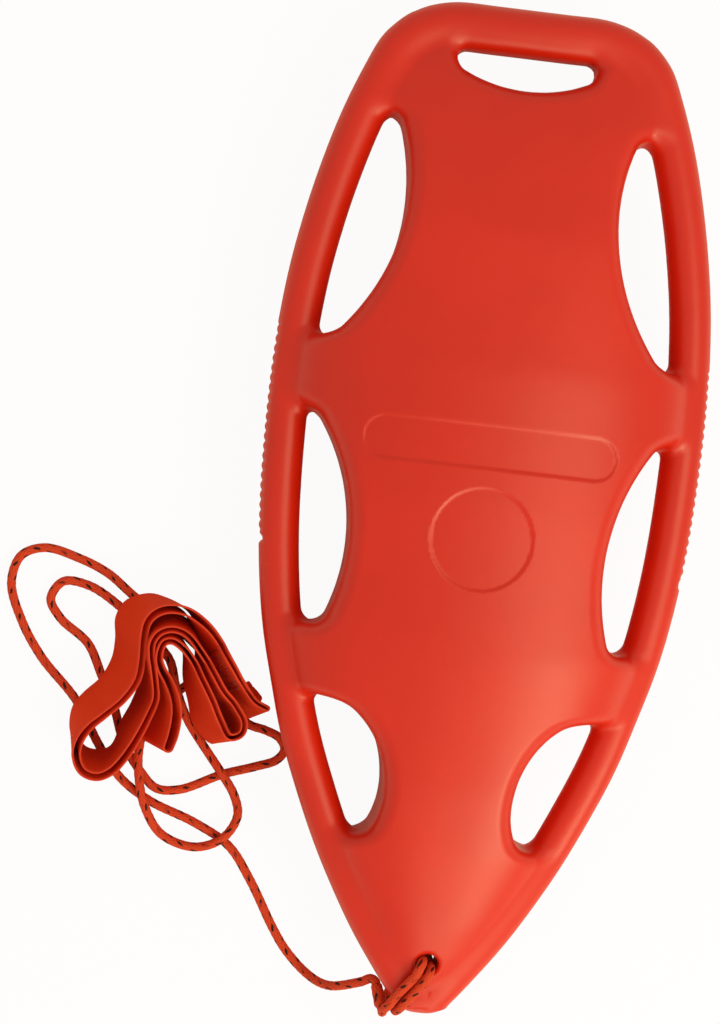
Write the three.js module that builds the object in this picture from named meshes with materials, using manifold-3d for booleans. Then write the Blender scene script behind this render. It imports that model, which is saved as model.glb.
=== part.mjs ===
// A lifeguard's rescue can: one hollow moulded float with seven grips, its foam filling, the vent
// fittings on its underside, and the towing line with its eye and its webbing shoulder strap.
// Millimetres, +Z up. The origin is on the floor under the middle of the belly, +Y to the tail grip.

import * as THREE from 'three';
import { mergeVertices } from 'three/addons/utils/BufferGeometryUtils.js';
import Module from 'manifold-3d';

const wasm = await Module();
wasm.setup();

// Driving dimensions of the hull
const hullLength = 740;
const hullBeam = 325.2;
const deckHeight = 70;
const bellyDepth = 71.5;
const midPlane = 70;
const wall = 3.5;
const tailGripRadius = 17;
const sideGripRadius = 15;
const noseRimRadius = 9;
const towHoleRadius = 8;
const towHoleFromNose = 40;

// Hand openings beside the body: where each starts and ends along the hull, and the arc of its
// inner edge, which is longer towards the tail than towards the nose on the last pair. Places and
// lengths along the hull are shares of half its length, and those across it of half its beam.
const handHoleShares = [
  {
    low: 0.3108, high: 0.7635, toNose: 0.4189, toTail: 0.4189,
    arcAt: 0.6, arcCentre: 1.4225, arcDepth: 0.9533,
  },
  {
    low: -0.2514, high: 0.1676, toNose: 0.4054, toTail: 0.4054,
    arcAt: -0.0892, arcCentre: 1.4865, arcDepth: 0.9225,
  },
  {
    low: -0.6532, high: -0.387, toNose: 0.1568, toTail: 0.1838,
    arcAt: -0.5649, arcCentre: 0.6421, arcDepth: 0.3567,
  },
];
const holeCorner = 5;
const holeCornerShare = 0.35;
const tailHoleHalfWidth = 51;
const tailHoleFlatY = 335.3;
const tailHoleArcY = 309.5;
const tailHoleArcRadius = 95;

// Blank recesses on the deck
const panelLength = 180;
const panelWidth = 30;
const panelY = 45;
const discRadius = 36;
const discY = -20;
const recessDepth = 1.2;

// Clearances and cutting overrun
const gap = 0.3;
const foamClearance = 0.5;
const overrun = 20;

// Vent fittings on the underside
const ventY = 190;
const ventSeatZ = 19.5;
const ventRecessRadius = 17;
const ventBossRadius = 20;
const ventBossLength = 12.5;
const bushRadius = 11.7;
const bushBoreRadius = 8;
const bushCollarRadius = 15;
const bushCollarThickness = 2;
const plugShankRadius = bushBoreRadius - gap;
const plugHeadRadius = 13.5;
const plugHeadThickness = 3;
const plugShankLength = 14;
const plugEdge = 0.5;
const plugLead = 1;
const coinSlotWidth = 2.4;
const coinSlotDepth = 1.6;
const coinSlotLength = 22;
const sealThickness = 1.9;
const sealInner = 8.2;
const sealOuter = 12.5;
const foamPocketRadius = 24;
const foamPocketTop = 50;

// Line and strap
const lineDiameter = 7;
const webbingWidth = 50;
const webbingThickness = 2;
const foldSpacing = 3.2;
const sleeveLength = 14;
const sleeveHalfHeight = 8.2;
const sleeveHalfWidth = 4.8;
const sleeveWall = 0.8;
const tunnelLength = 18;
const tunnelRadius = 6.3;
const stitchThickness = 0.6;
const stitchLength = 34;
const stitchHeight = 38;
const stitchBand = 4;
const stitchFromEnd = 24;

// How finely curves are drawn
const fine = { rimSteps: 84, rimSides: 12, bodySides: 28, stationStep: 20 };
const coarse = { rimSteps: 60, rimSides: 8, bodySides: 20, stationStep: 30 };
const roundSides = 40;
const arcSteps = 12;
const lineSides = 10;
const lineSteps = 92;
const eyeSteps = 56;
const strapSteps = 210;

const bodyFullness = 2.15;

// Right half of the outline seen from above, from the nose to the tail:
// shares of half the beam and of half the length
const outlineShares = [
  [0, -1], [0.062, -0.997], [0.111, -0.985], [0.148, -0.970], [0.185, -0.949], [0.234, -0.919],
  [0.323, -0.865], [0.402, -0.811], [0.541, -0.703], [0.657, -0.595], [0.758, -0.486],
  [0.833, -0.378], [0.899, -0.270], [0.943, -0.162], [0.976, -0.027], [0.992, 0.162],
  [0.987, 0.297], [0.963, 0.432], [0.925, 0.541], [0.873, 0.649], [0.806, 0.757], [0.726, 0.854],
  [0.664, 0.914], [0.603, 0.946], [0.541, 0.968], [0.467, 0.985], [0.381, 0.996], [0.307, 1],
  [0.154, 1],
];

// Half thickness of the body along the hull: shares of half the length and of the deck height
const thicknessShares = [
  [-0.979, 0.086], [-0.946, 0.179], [-0.919, 0.243], [-0.892, 0.321], [-0.811, 0.457],
  [-0.676, 0.621], [-0.541, 0.757], [-0.270, 0.943], [0, 1], [0.270, 0.957], [0.541, 0.771],
  [0.757, 0.514], [0.838, 0.386], [0.892, 0.286], [0.946, 0.143],
];

// Radius of the rim along the hull: share of half the length, and the shares of the nose rim,
// the side grip and the tail grip in it
const rimShares = [
  [-1, 1, 0, 0], [-0.919, 0.45, 0.55, 0], [-0.811, 0.1, 0.85, 0], [-0.5, 0, 0.95, 0],
  [0, 0, 1, 0], [0.6, 0, 0.55, 0.45], [0.9, 0, 0, 1], [1, 0, 0, 1],
];

const halfLength = hullLength / 2;
const halfBeam = hullBeam / 2;
const handHoles = handHoleShares.map((shares) => ({
  low: shares.low * halfLength,
  high: shares.high * halfLength,
  arcAt: shares.arcAt * halfLength,
  arcCentre: shares.arcCentre * halfBeam,
  arcDepth: shares.arcDepth * halfBeam,
  toNose: shares.toNose * halfLength,
  toTail: shares.toTail * halfLength,
}));

function closedGeometry(geometry) {
  const bare = geometry.clone();
  bare.deleteAttribute('normal');
  bare.deleteAttribute('uv');
  const merged = mergeVertices(bare);
  merged.computeVertexNormals();
  return merged;
}

function solid(geometry) {
  const bare = closedGeometry(geometry);
  return new wasm.Manifold(new wasm.Mesh({
    numProp: 3,
    vertProperties: new Float32Array(bare.getAttribute('position').array),
    triVerts: new Uint32Array(bare.getIndex().array),
  }));
}

function geometryOf(body) {
  const mesh = body.getMesh();
  const geometry = new THREE.BufferGeometry();
  geometry.setAttribute('position', new THREE.BufferAttribute(mesh.vertProperties, 3));
  geometry.setIndex(new THREE.BufferAttribute(mesh.triVerts, 1));
  geometry.computeVertexNormals();
  return geometry;
}

// A closed skin through rings of points. An open row of rings gets a fan at each end.
function skin(rings, ringIsClosed) {
  const sides = rings[0].length;
  const points = rings.flat();
  const faces = [];
  const rows = ringIsClosed ? rings.length : rings.length - 1;
  for (let row = 0; row < rows; row += 1) {
    const here = row * sides;
    const next = ((row + 1) % rings.length) * sides;
    for (let side = 0; side < sides; side += 1) {
      const beside = (side + 1) % sides;
      faces.push(here + side, next + side, next + beside);
      faces.push(here + side, next + beside, here + beside);
    }
  }
  if (!ringIsClosed) {
    [0, rings.length - 1].forEach((end) => {
      const middle = new THREE.Vector3();
      rings[end].forEach((point) => middle.add(point));
      points.push(middle.divideScalar(sides));
      const centre = points.length - 1;
      for (let side = 0; side < sides; side += 1) {
        const a = end * sides + side;
        const b = end * sides + ((side + 1) % sides);
        faces.push(...(end === 0 ? [centre, a, b] : [centre, b, a]));
      }
    });
  }
  let volume = 0;
  for (let face = 0; face < faces.length; face += 3) {
    const [a, b, c] = [points[faces[face]], points[faces[face + 1]], points[faces[face + 2]]];
    volume += a.dot(b.clone().cross(c));
  }
  if (volume < 0) {
    faces.reverse();
  }
  const geometry = new THREE.BufferGeometry().setFromPoints(points);
  geometry.setIndex(faces);
  geometry.computeVertexNormals();
  return geometry;
}

// Reads a table whose first column rises, with straight lines between its rows
function tableValue(rows, at, column) {
  if (at <= rows[0][0]) {
    return rows[0][column];
  }
  for (let row = 1; row < rows.length; row += 1) {
    if (at <= rows[row][0]) {
      const share = (at - rows[row - 1][0]) / (rows[row][0] - rows[row - 1][0]);
      return THREE.MathUtils.lerp(rows[row - 1][column], rows[row][column], share);
    }
  }
  return rows[rows.length - 1][column];
}

const rightSide = outlineShares.map(([across, along]) => [across * halfBeam, along * halfLength]);
const leftSide = rightSide.slice(1).reverse().map(([x, y]) => [-x, y]);
const outlineCurve = new THREE.CatmullRomCurve3(
  [...rightSide, ...leftSide].map(([x, y]) => new THREE.Vector3(x, y, midPlane)),
  true,
  'centripetal',
);
const outlinePoints = outlineCurve.getSpacedPoints(fine.rimSteps * 4);
const outlineRows = outlinePoints
  .filter((point) => point.x >= 0)
  .map((point) => [point.y, point.x])
  .sort((a, b) => a[0] - b[0]);

function outlineHalfWidth(y) {
  return tableValue(outlineRows, y, 1);
}

function rimRadius(y) {
  const along = y / halfLength;
  return noseRimRadius * tableValue(rimShares, along, 1)
    + sideGripRadius * tableValue(rimShares, along, 2)
    + tailGripRadius * tableValue(rimShares, along, 3);
}

function bodyHalfHeight(y) {
  return deckHeight * tableValue(thicknessShares, y / halfLength, 1);
}

// Half width of the lens-shaped body, out to the middle of the rim
function bodyHalfWidth(y, webInset) {
  return outlineHalfWidth(y) - rimRadius(y) - webInset;
}

// The body as a skin through rounded sections, drawn in by an inset
function bodySkin(inset, webInset, fromY, toY, detail) {
  const { bodySides, stationStep } = detail;
  const places = new Set([fromY, toY]);
  for (let y = -halfLength + stationStep; y < toY; y += stationStep) {
    places.add(y);
  }
  const stations = [...places].filter((y) => y >= fromY && y <= toY).sort((a, b) => a - b);
  const kept = stations.filter((y, at) => at === 0 || y - stations[at - 1] > gap);
  return skin(kept.map((y) => {
    const halfWidth = bodyHalfWidth(y, webInset);
    const up = bodyHalfHeight(y) - inset;
    const down = bodyHalfHeight(y) * (bellyDepth / deckHeight) - inset;
    return Array.from({ length: bodySides }, (_, side) => {
      const angle = (side / bodySides) * Math.PI * 2;
      const across = Math.sign(Math.cos(angle)) * Math.abs(Math.cos(angle)) ** (2 / bodyFullness);
      const rise = Math.sign(Math.sin(angle)) * Math.abs(Math.sin(angle)) ** (2 / bodyFullness);
      return new THREE.Vector3(across * halfWidth, y, midPlane + rise * (rise > 0 ? up : down));
    });
  }), false);
}

// The tubular rim that follows the outline, drawn in by an inset
function rimSkin(inset, detail) {
  const { rimSteps, rimSides } = detail;
  return skin(Array.from({ length: rimSteps }, (_, step) => {
    const along = step / rimSteps;
    const edge = outlineCurve.getPointAt(along);
    const tangent = outlineCurve.getTangentAt(along);
    const inward = new THREE.Vector3(-tangent.y, tangent.x, 0).normalize();
    const radius = rimRadius(edge.y);
    const centre = edge.clone().addScaledVector(inward, radius);
    return Array.from({ length: rimSides }, (_side, side) => {
      const angle = (side / rimSides) * Math.PI * 2;
      return centre.clone()
        .addScaledVector(inward, -Math.cos(angle) * (radius - inset))
        .add(new THREE.Vector3(0, 0, Math.sin(angle) * (radius - inset)));
    });
  }), true);
}

// An upright prism of an outline, from a low to a high level
function prism(shape, low, high) {
  const geometry = new THREE.ExtrudeGeometry(shape, {
    depth: high - low,
    bevelEnabled: false,
    curveSegments: roundSides / 2,
  });
  return geometry.translate(0, 0, low);
}

function cylinder(radius, low, high, x, y) {
  const geometry = new THREE.CylinderGeometry(radius, radius, high - low, roundSides);
  return geometry.rotateX(Math.PI / 2).translate(x, y, (low + high) / 2);
}

// Outline of a hand opening on one side: the arc of its inner edge, and the middle of the rim
function handHoleShape(hole, side, grow) {
  const low = hole.low - grow;
  const high = hole.high + grow;
  const arcX = (y) => {
    const reach = (y < hole.arcAt ? hole.toNose : hole.toTail) + grow;
    const bulge = Math.sqrt(1 - ((y - hole.arcAt) / reach) ** 2);
    return hole.arcCentre - (hole.arcDepth + grow) * bulge;
  };
  const points = Array.from({ length: arcSteps + 1 }, (_, step) => {
    const y = THREE.MathUtils.lerp(low + holeCorner, high - holeCorner, step / arcSteps);
    return new THREE.Vector2(side * arcX(y), y);
  });
  const cornerX = (y) => THREE.MathUtils.lerp(arcX(y), bodyHalfWidth(y, 0), holeCornerShare);
  points.push(new THREE.Vector2(side * cornerX(high), high));
  for (let step = arcSteps; step >= 0; step -= 1) {
    const y = THREE.MathUtils.lerp(low, high, step / arcSteps);
    points.push(new THREE.Vector2(side * (bodyHalfWidth(y, 0) + overrun / 4), y));
  }
  points.push(new THREE.Vector2(side * cornerX(low), low));
  return new THREE.Shape(side > 0 ? points : points.reverse());
}

function tailHoleShape(grow) {
  const arcRadius = tailHoleArcRadius + grow;
  const arcCentreY = tailHoleArcY + tailHoleArcRadius;
  const reach = tailHoleHalfWidth + grow;
  const turn = Math.asin(reach / arcRadius);
  const shape = new THREE.Shape();
  shape.moveTo(reach, tailHoleFlatY + grow);
  shape.lineTo(-reach, tailHoleFlatY + grow);
  shape.absarc(0, arcCentreY, arcRadius, -Math.PI / 2 - turn, -Math.PI / 2 + turn, false);
  shape.closePath();
  return shape;
}

function panelShape() {
  const end = panelWidth / 2;
  const reach = panelLength / 2 - end;
  const shape = new THREE.Shape();
  shape.absarc(reach, panelY, end, -Math.PI / 2, Math.PI / 2, false);
  shape.absarc(-reach, panelY, end, Math.PI / 2, Math.PI * 1.5, false);
  shape.closePath();
  return shape;
}

const noseY = -halfLength;
const towHoleY = noseY + towHoleFromNose;
const bodyNoseY = noseY + noseRimRadius - 1.2 * gap;
const bodyTailY = halfLength - tailGripRadius - wall;
const ventBossTop = ventSeatZ + ventBossLength;

// The body with all its openings cut through
function openBody(inset, webInset, grow, fromY, toY, detail) {
  const topZ = midPlane + deckHeight + overrun;
  const lowZ = midPlane - bellyDepth - overrun;
  const shapes = [tailHoleShape(grow)];
  handHoles.forEach((hole) => {
    shapes.push(handHoleShape(hole, -1, grow), handHoleShape(hole, 1, grow));
  });
  return shapes.reduce(
    (body, shape) => body.subtract(solid(prism(shape, lowZ, topZ))),
    solid(bodySkin(inset, webInset, fromY, toY, detail)),
  );
}

// Hull: rim and body in one moulding, hollow, with the tow hole, the vent and the flat belly
function hullShell() {
  const topZ = midPlane + deckHeight + overrun;
  const lowZ = midPlane - bellyDepth - overrun;
  const outer = openBody(0, 0, 0, bodyNoseY, bodyTailY, fine).add(solid(rimSkin(0, fine)));
  const cavityNoseY = towHoleY + towHoleRadius + 2 * wall;
  const cavity = openBody(wall, 0, wall, cavityNoseY, bodyTailY - wall, coarse)
    .add(solid(rimSkin(wall, coarse)));
  const boss = solid(cylinder(ventBossRadius, 0, ventBossTop, 0, ventY)).intersect(outer);
  const recessFloor = solid(bodySkin(recessDepth, 0, bodyNoseY, bodyTailY, fine));
  const recesses = solid(prism(panelShape(), midPlane, topZ))
    .add(solid(cylinder(discRadius, midPlane, topZ, 0, discY)))
    .subtract(recessFloor);
  const floorCut = new THREE.BoxGeometry(hullLength, hullLength, overrun).translate(0, 0, -overrun / 2);
  return outer
    .subtract(cavity)
    .add(boss)
    .subtract(recesses)
    .subtract(solid(cylinder(towHoleRadius, lowZ, topZ, 0, towHoleY)))
    .subtract(solid(cylinder(ventRecessRadius, lowZ, ventSeatZ, 0, ventY)))
    .subtract(solid(cylinder(bushRadius + gap, lowZ, ventBossTop + overrun / 2, 0, ventY)))
    .subtract(solid(floorCut));
}

// Foam filling of the body, with a pocket over the vent
function foamCore() {
  const inset = wall + foamClearance;
  const webInset = tailGripRadius + wall;
  const fromY = towHoleY + towHoleRadius + 3 * wall + foamClearance;
  const toY = tailHoleArcY - 2 * wall;
  return openBody(inset, webInset, inset, fromY, toY, coarse)
    .subtract(solid(cylinder(foamPocketRadius, 0, foamPocketTop, 0, ventY)));
}

function lathe(profile) {
  const points = profile.map(([radius, height]) => new THREE.Vector2(radius, height));
  return new THREE.LatheGeometry(points, roundSides).rotateX(Math.PI / 2).translate(0, ventY, 0);
}

// Threaded bush that is moulded into the boss, its thread drawn plain
function ventBush() {
  const low = ventSeatZ + gap;
  const shoulder = ventBossTop + gap;
  const high = shoulder + bushCollarThickness;
  return lathe([
    [bushBoreRadius, low], [bushRadius, low], [bushRadius, shoulder],
    [bushCollarRadius, shoulder], [bushCollarRadius, high], [bushBoreRadius, high],
    [bushBoreRadius, low],
  ]);
}

// O-ring that the plug's head presses on the boss
function ventSeal() {
  const high = ventSeatZ - gap;
  const low = high - sealThickness;
  const chamfer = sealThickness / 4;
  return lathe([
    [sealInner, low + chamfer], [sealInner + chamfer, low], [sealOuter - chamfer, low],
    [sealOuter, low + chamfer], [sealOuter, high - chamfer], [sealOuter - chamfer, high],
    [sealInner + chamfer, high], [sealInner, high - chamfer], [sealInner, low + chamfer],
  ]);
}

// Screw plug with a coin slot in its head
function ventPlug() {
  const headTop = ventSeatZ - sealThickness - 2 * gap;
  const headLow = headTop - plugHeadThickness;
  const tip = headTop + plugShankLength;
  const profile = lathe([
    [0, headLow], [plugHeadRadius - plugEdge, headLow], [plugHeadRadius, headLow + plugEdge],
    [plugHeadRadius, headTop], [plugShankRadius, headTop], [plugShankRadius, tip - plugLead],
    [plugShankRadius - plugLead, tip], [0, tip],
  ]);
  const slot = new THREE.BoxGeometry(coinSlotLength, coinSlotWidth, 2 * coinSlotDepth);
  return solid(profile).subtract(solid(slot.translate(0, ventY, headLow)));
}

// A round section of the line, drawn along points
function lineTube(points, steps) {
  const section = new THREE.Shape(Array.from({ length: lineSides }, (_, side) => {
    const angle = ((side + 0.5) / lineSides) * Math.PI * 2;
    const radius = lineDiameter / 2;
    return new THREE.Vector2(Math.cos(angle) * radius, Math.sin(angle) * radius);
  }));
  const path = new THREE.CatmullRomCurve3(
    points.map(([x, y, z]) => new THREE.Vector3(x, y, z)),
    false,
    'centripetal',
  );
  return new THREE.ExtrudeGeometry(section, { steps, extrudePath: path, bevelEnabled: false });
}

// Route of the towing line from its eye splice, down to the floor and in loose loops to the strap
const lineRoute = [
  [-32.8, -355.3, 59.7], [-33.4, -353.4, 58.8], [-37, -352.4, 55.1], [-42.6, -356, 51.2],
  [-50, -359.8, 46], [-57.8, -363.8, 38.5], [-64.9, -366.8, 30], [-73, -367.5, 20],
  [-81.8, -364.9, 10.5], [-90.9, -359, 5], [-102.5, -347.5, 4], [-113, -333, 4], [-134, -299, 4],
  [-153, -275, 4], [-181, -260, 4], [-217, -247, 4], [-241, -232, 4], [-260, -209, 4],
  [-281, -177, 4], [-311, -147, 4], [-329, -121, 4], [-340, -93, 4], [-335, -72, 4],
  [-318, -64, 4], [-291, -69, 4], [-268, -78, 4], [-245, -94, 4], [-215, -111, 4], [-181, -138, 4],
  [-161, -169, 4], [-149, -180.5, 4], [-135, -184, 4], [-124, -188.5, 4], [-119, -197, 4],
  [-124, -205.5, 4], [-140, -212.5, 4], [-164, -221, 4], [-195, -236, 4], [-213, -237, 4],
  [-226, -226, 4], [-241, -206, 4], [-253, -176, 4], [-264, -156, 4], [-277, -133, 4],
  [-300, -116, 4], [-309, -102, 4], [-301, -88, 4], [-281, -89, 4], [-258, -101, 4],
  [-233, -121, 4.4], [-214, -138, 6.6], [-206, -159, 11.7], [-195, -182, 7.5], [-176, -206, 8.5],
  [-164, -220, 11.7], [-153, -236, 8], [-149, -251, 8], [-158, -268, 11.7], [-179, -278, 7],
  [-205, -271, 7], [-220, -250, 11.7], [-227, -227, 11.8], [-229, -208, 9], [-226, -190, 5],
  [-203, -160, 4.2], [-188, -148, 9], [-178, -142.5, 11.7], [-170, -141.5, 10.5],
  [-163.5, -145.2, 10.3], [-156.7, -151, 12.1], [-145.5, -161.6, 15.2],
];

// The eye: twice round the nose lip through the tow hole, both ends into the splice sleeve
const eyeRoute = [
  [-28.8, -366.7, 69.5], [-28, -369, 70.5], [-26.4, -368.8, 73.9], [-22.9, -363.6, 80.9],
  [-19, -356.2, 84], [-15.2, -350.2, 87.2], [-10.6, -343, 91.3], [-7.2, -336.8, 94.7],
  [-5.2, -331.9, 96.1], [-3.7, -328.5, 92.7], [-3.1, -327.5, 86], [-3.1, -327.5, 70],
  [-3.1, -327.5, 50], [-4.2, -330, 44.5], [-8.6, -338, 47.2], [-10.6, -347.5, 51.6],
  [-13.6, -361.8, 57.2], [-17.6, -370.2, 70], [-13.8, -363.4, 82.6], [-8.8, -355.3, 87],
  [-4, -347.2, 91.1], [-0.3, -340.7, 94.8], [1.8, -336.3, 95.3], [2.9, -333, 90],
  [3.1, -332.5, 82], [3.1, -332.5, 70], [3.1, -332.5, 50], [2, -334.5, 42.5], [-3, -340, 39.4],
  [-9.5, -345.5, 39.8], [-16, -352.5, 42.6], [-21.5, -361, 46.5], [-24.6, -369.3, 50.8],
  [-25.4, -374, 55.8], [-26.1, -375, 60], [-26.8, -372.3, 63.4], [-27.7, -369.9, 62.2],
];

// Sleeve over the eye splice: oval at the eye, tapering to the line
const sleeveStart = new THREE.Vector3(-28.4, -367.8, 65.7);
const sleeveWay = new THREE.Vector3(-0.3, 0.86, -0.41).normalize();
const sleeveEnd = sleeveStart.clone().addScaledVector(sleeveWay, sleeveLength);

function taperedSleeve() {
  const along = sleeveEnd.clone().sub(sleeveStart).normalize();
  const across = new THREE.Vector3(-along.y, along.x, 0).normalize();
  const up = along.clone().cross(across).normalize();
  const taperShares = [[0, 1], [0.12, 1], [0.5, 0.55], [0.85, 0.1], [1, 0]];
  const endRadius = lineDiameter / 2 + sleeveWall;
  return skin(taperShares.map(([place, fullShare]) => {
    const centre = sleeveStart.clone().lerp(sleeveEnd, place * (1 - gap / sleeveLength));
    const tall = THREE.MathUtils.lerp(endRadius, sleeveHalfHeight, fullShare);
    const wide = THREE.MathUtils.lerp(endRadius, sleeveHalfWidth, fullShare);
    return Array.from({ length: roundSides / 2 }, (_, side) => {
      const angle = (side / (roundSides / 2)) * Math.PI * 2;
      return centre.clone()
        .addScaledVector(across, Math.cos(angle) * wide)
        .addScaledVector(up, Math.sin(angle) * tall);
    });
  }), false);
}

// The strap stands on edge, doubled and folded. Its route seen from above is given at its upper
// edge, as shares of the folded bundle's span from the bundle's middle, with the lean of the
// lower edge in the last two columns.
const bundleX = -205;
const bundleY = -165;
const bundleSpan = 100;
const strapRouteShares = [
  [0.695, 0.03, -0.14, -0.12], [0.605, 0.07, -0.15, -0.07], [0.495, 0.2, -0.15, -0.08],
  [0.415, 0.315, -0.14, -0.09], [0.23, 0.55, -0.1, -0.09], [0.115, 0.635, -0.05, -0.02],
  [0.02, 0.675, -0.02, 0.01], [-0.1, 0.68, -0.07, 0.04], [-0.195, 0.64, -0.11, 0.1],
  [-0.255, 0.56, -0.2, 0.12], [-0.27, 0.43, -0.25, 0.12], [-0.27, 0.28, -0.24, 0.12],
  [-0.285, 0.12, -0.23, 0.12], [-0.37, -0.03, -0.21, 0.11], [-0.495, -0.16, -0.2, 0.11],
  [-0.595, -0.26, -0.17, 0.1], [-0.655, -0.37, -0.12, 0.08], [-0.665, -0.48, -0.08, 0.1],
  [-0.61, -0.58, -0.04, 0.11], [-0.5, -0.61, -0.03, 0.13], [-0.4, -0.56, -0.05, 0.12],
  [-0.32, -0.46, -0.09, 0.11], [-0.24, -0.31, -0.15, 0.07], [-0.17, -0.13, -0.16, 0.04],
  [-0.135, 0, -0.16, 0.06], [-0.15, 0.11, -0.15, 0.06], [-0.175, 0.23, -0.15, 0.07],
  [-0.195, 0.32, -0.15, 0.07], [-0.2, 0.415, -0.13, 0.05], [-0.16, 0.49, -0.11, 0.03],
  [-0.08, 0.53, -0.09, 0.02], [-0.005, 0.525, -0.08, 0], [0.065, 0.49, -0.08, -0.02],
  [0.155, 0.4, -0.09, -0.02], [0.26, 0.275, -0.09, -0.03], [0.37, 0.12, -0.11, -0.03],
  [0.475, 0.005, -0.1, -0.03], [0.54, -0.1, -0.09, -0.03], [0.525, -0.185, -0.08, -0.07],
  [0.445, -0.205, -0.14, -0.11], [0.37, -0.105, -0.21, -0.09], [0.285, 0.055, -0.19, -0.06],
  [0.2, 0.19, -0.16, -0.03], [0.11, 0.32, -0.12, -0.01], [0.025, 0.405, -0.1, 0],
  [-0.055, 0.445, -0.1, 0.01], [-0.11, 0.43, -0.1, 0.02], [-0.135, 0.37, -0.11, 0.03],
  [-0.135, 0.295, -0.12, 0.03], [-0.105, 0.22, -0.14, 0.03], [-0.05, 0.145, -0.15, 0.03],
  [0, 0.055, -0.16, 0.02], [0.03, -0.045, -0.17, 0.02], [0.035, -0.145, -0.18, 0.02],
  [0.025, -0.25, -0.18, 0.03], [0.005, -0.335, -0.19, 0.01],
];

const floorClearance = 0.3;
const liftReach = 26;
const tunnelStretch = 2;

// Height of the strap's lower edge: on the floor, or over the line where that passes under it
const lineUnderStrap = new THREE.CatmullRomCurve3(
  lineRoute.slice(0, lineRoute.length - tunnelStretch).map(([x, y, z]) => new THREE.Vector3(x, y, z)),
  false,
  'centripetal',
).getSpacedPoints(lineSteps * 4);

function strapFootHeight(x, y) {
  const fullReach = lineDiameter / 2 + webbingThickness;
  return lineUnderStrap.reduce((height, point) => {
    const away = Math.hypot(point.x - x, point.y - y);
    const top = point.z + lineDiameter / 2 + floorClearance;
    const share = THREE.MathUtils.smoothstep(liftReach - away, 0, liftReach - fullReach);
    return Math.max(height, top * share);
  }, floorClearance);
}

const strapTop = new THREE.CatmullRomCurve3(
  strapRouteShares.map(
    ([x, y]) => new THREE.Vector3(bundleX + x * bundleSpan, bundleY + y * bundleSpan, 0),
  ),
  false,
  'centripetal',
);
const strapLean = new THREE.CatmullRomCurve3(
  strapRouteShares.map(([, , x, y]) => new THREE.Vector3(x * bundleSpan, y * bundleSpan, 0)),
  false,
  'catmullrom',
);

// One place on the folded strap: its upper edge, its lower edge and the way across it
function strapPlace(along, aside) {
  const mapped = strapTop.getUtoTmapping(along);
  const top = strapTop.getPoint(mapped);
  const lean = strapLean.getPoint(mapped);
  const tangent = strapTop.getTangent(mapped);
  const across = new THREE.Vector3(tangent.y, -tangent.x, 0).normalize();
  top.addScaledVector(across, aside);
  const foot = top.clone().add(lean);
  foot.z = strapFootHeight(foot.x, foot.y);
  top.z = foot.z + Math.sqrt(webbingWidth ** 2 - lean.lengthSq());
  return { top, foot, across, tangent };
}

// The doubled webbing as one closed band: out along one face, round the fold, and back
function strapBand() {
  const halfSpacing = foldSpacing / 2;
  const foldSteps = 5;
  const places = [];
  for (let step = 0; step <= strapSteps / 2; step += 1) {
    places.push({ ...strapPlace(step / (strapSteps / 2), halfSpacing), turn: 0, end: 0 });
  }
  for (let step = 1; step < foldSteps; step += 1) {
    places.push({ ...strapPlace(1, 0), turn: (step / foldSteps) * Math.PI, end: 1 });
  }
  for (let step = strapSteps / 2; step >= 0; step -= 1) {
    places.push({ ...strapPlace(step / (strapSteps / 2), -halfSpacing), turn: Math.PI, end: 0 });
  }
  for (let step = 1; step < foldSteps; step += 1) {
    places.push({ ...strapPlace(0, 0), turn: Math.PI + (step / foldSteps) * Math.PI, end: -1 });
  }
  return skin(places.map(({ top, foot, across, tangent, turn, end }) => {
    const outward = across.clone().multiplyScalar(Math.cos(turn));
    if (end !== 0) {
      outward.addScaledVector(tangent, end * Math.abs(Math.sin(turn)));
    }
    const middle = end === 0 ? 0 : halfSpacing;
    const inner = middle - webbingThickness / 2;
    const outer = middle + webbingThickness / 2;
    return [
      top.clone().addScaledVector(outward, outer),
      top.clone().addScaledVector(outward, inner),
      foot.clone().addScaledVector(outward, inner),
      foot.clone().addScaledVector(outward, outer),
    ];
  }), true);
}

// Sewn tunnel that holds the line's end at the strap's foot
function lineTunnel() {
  const start = new THREE.Vector3(...lineRoute[lineRoute.length - 2]);
  const end = new THREE.Vector3(...lineRoute[lineRoute.length - 1]);
  const along = end.clone().sub(start).normalize();
  const bore = lineDiameter / 2 + gap;
  const back = tunnelRadius - bore;
  const profile = [
    [bore, 0], [tunnelRadius - stitchThickness, 0], [tunnelRadius, stitchThickness],
    [tunnelRadius, tunnelLength - back], [tunnelRadius - back, tunnelLength], [0, tunnelLength],
    [0, tunnelLength - back], [bore, tunnelLength - back], [bore, 0],
  ];
  const points = profile.map(([radius, height]) => new THREE.Vector2(radius, height));
  const geometry = new THREE.LatheGeometry(points, roundSides / 2);
  const turn = new THREE.Quaternion().setFromUnitVectors(new THREE.Vector3(0, 1, 0), along);
  const place = end.clone().addScaledVector(along, back + gap - tunnelLength);
  return geometry.applyQuaternion(turn).translate(place.x, place.y, place.z);
}

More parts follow.
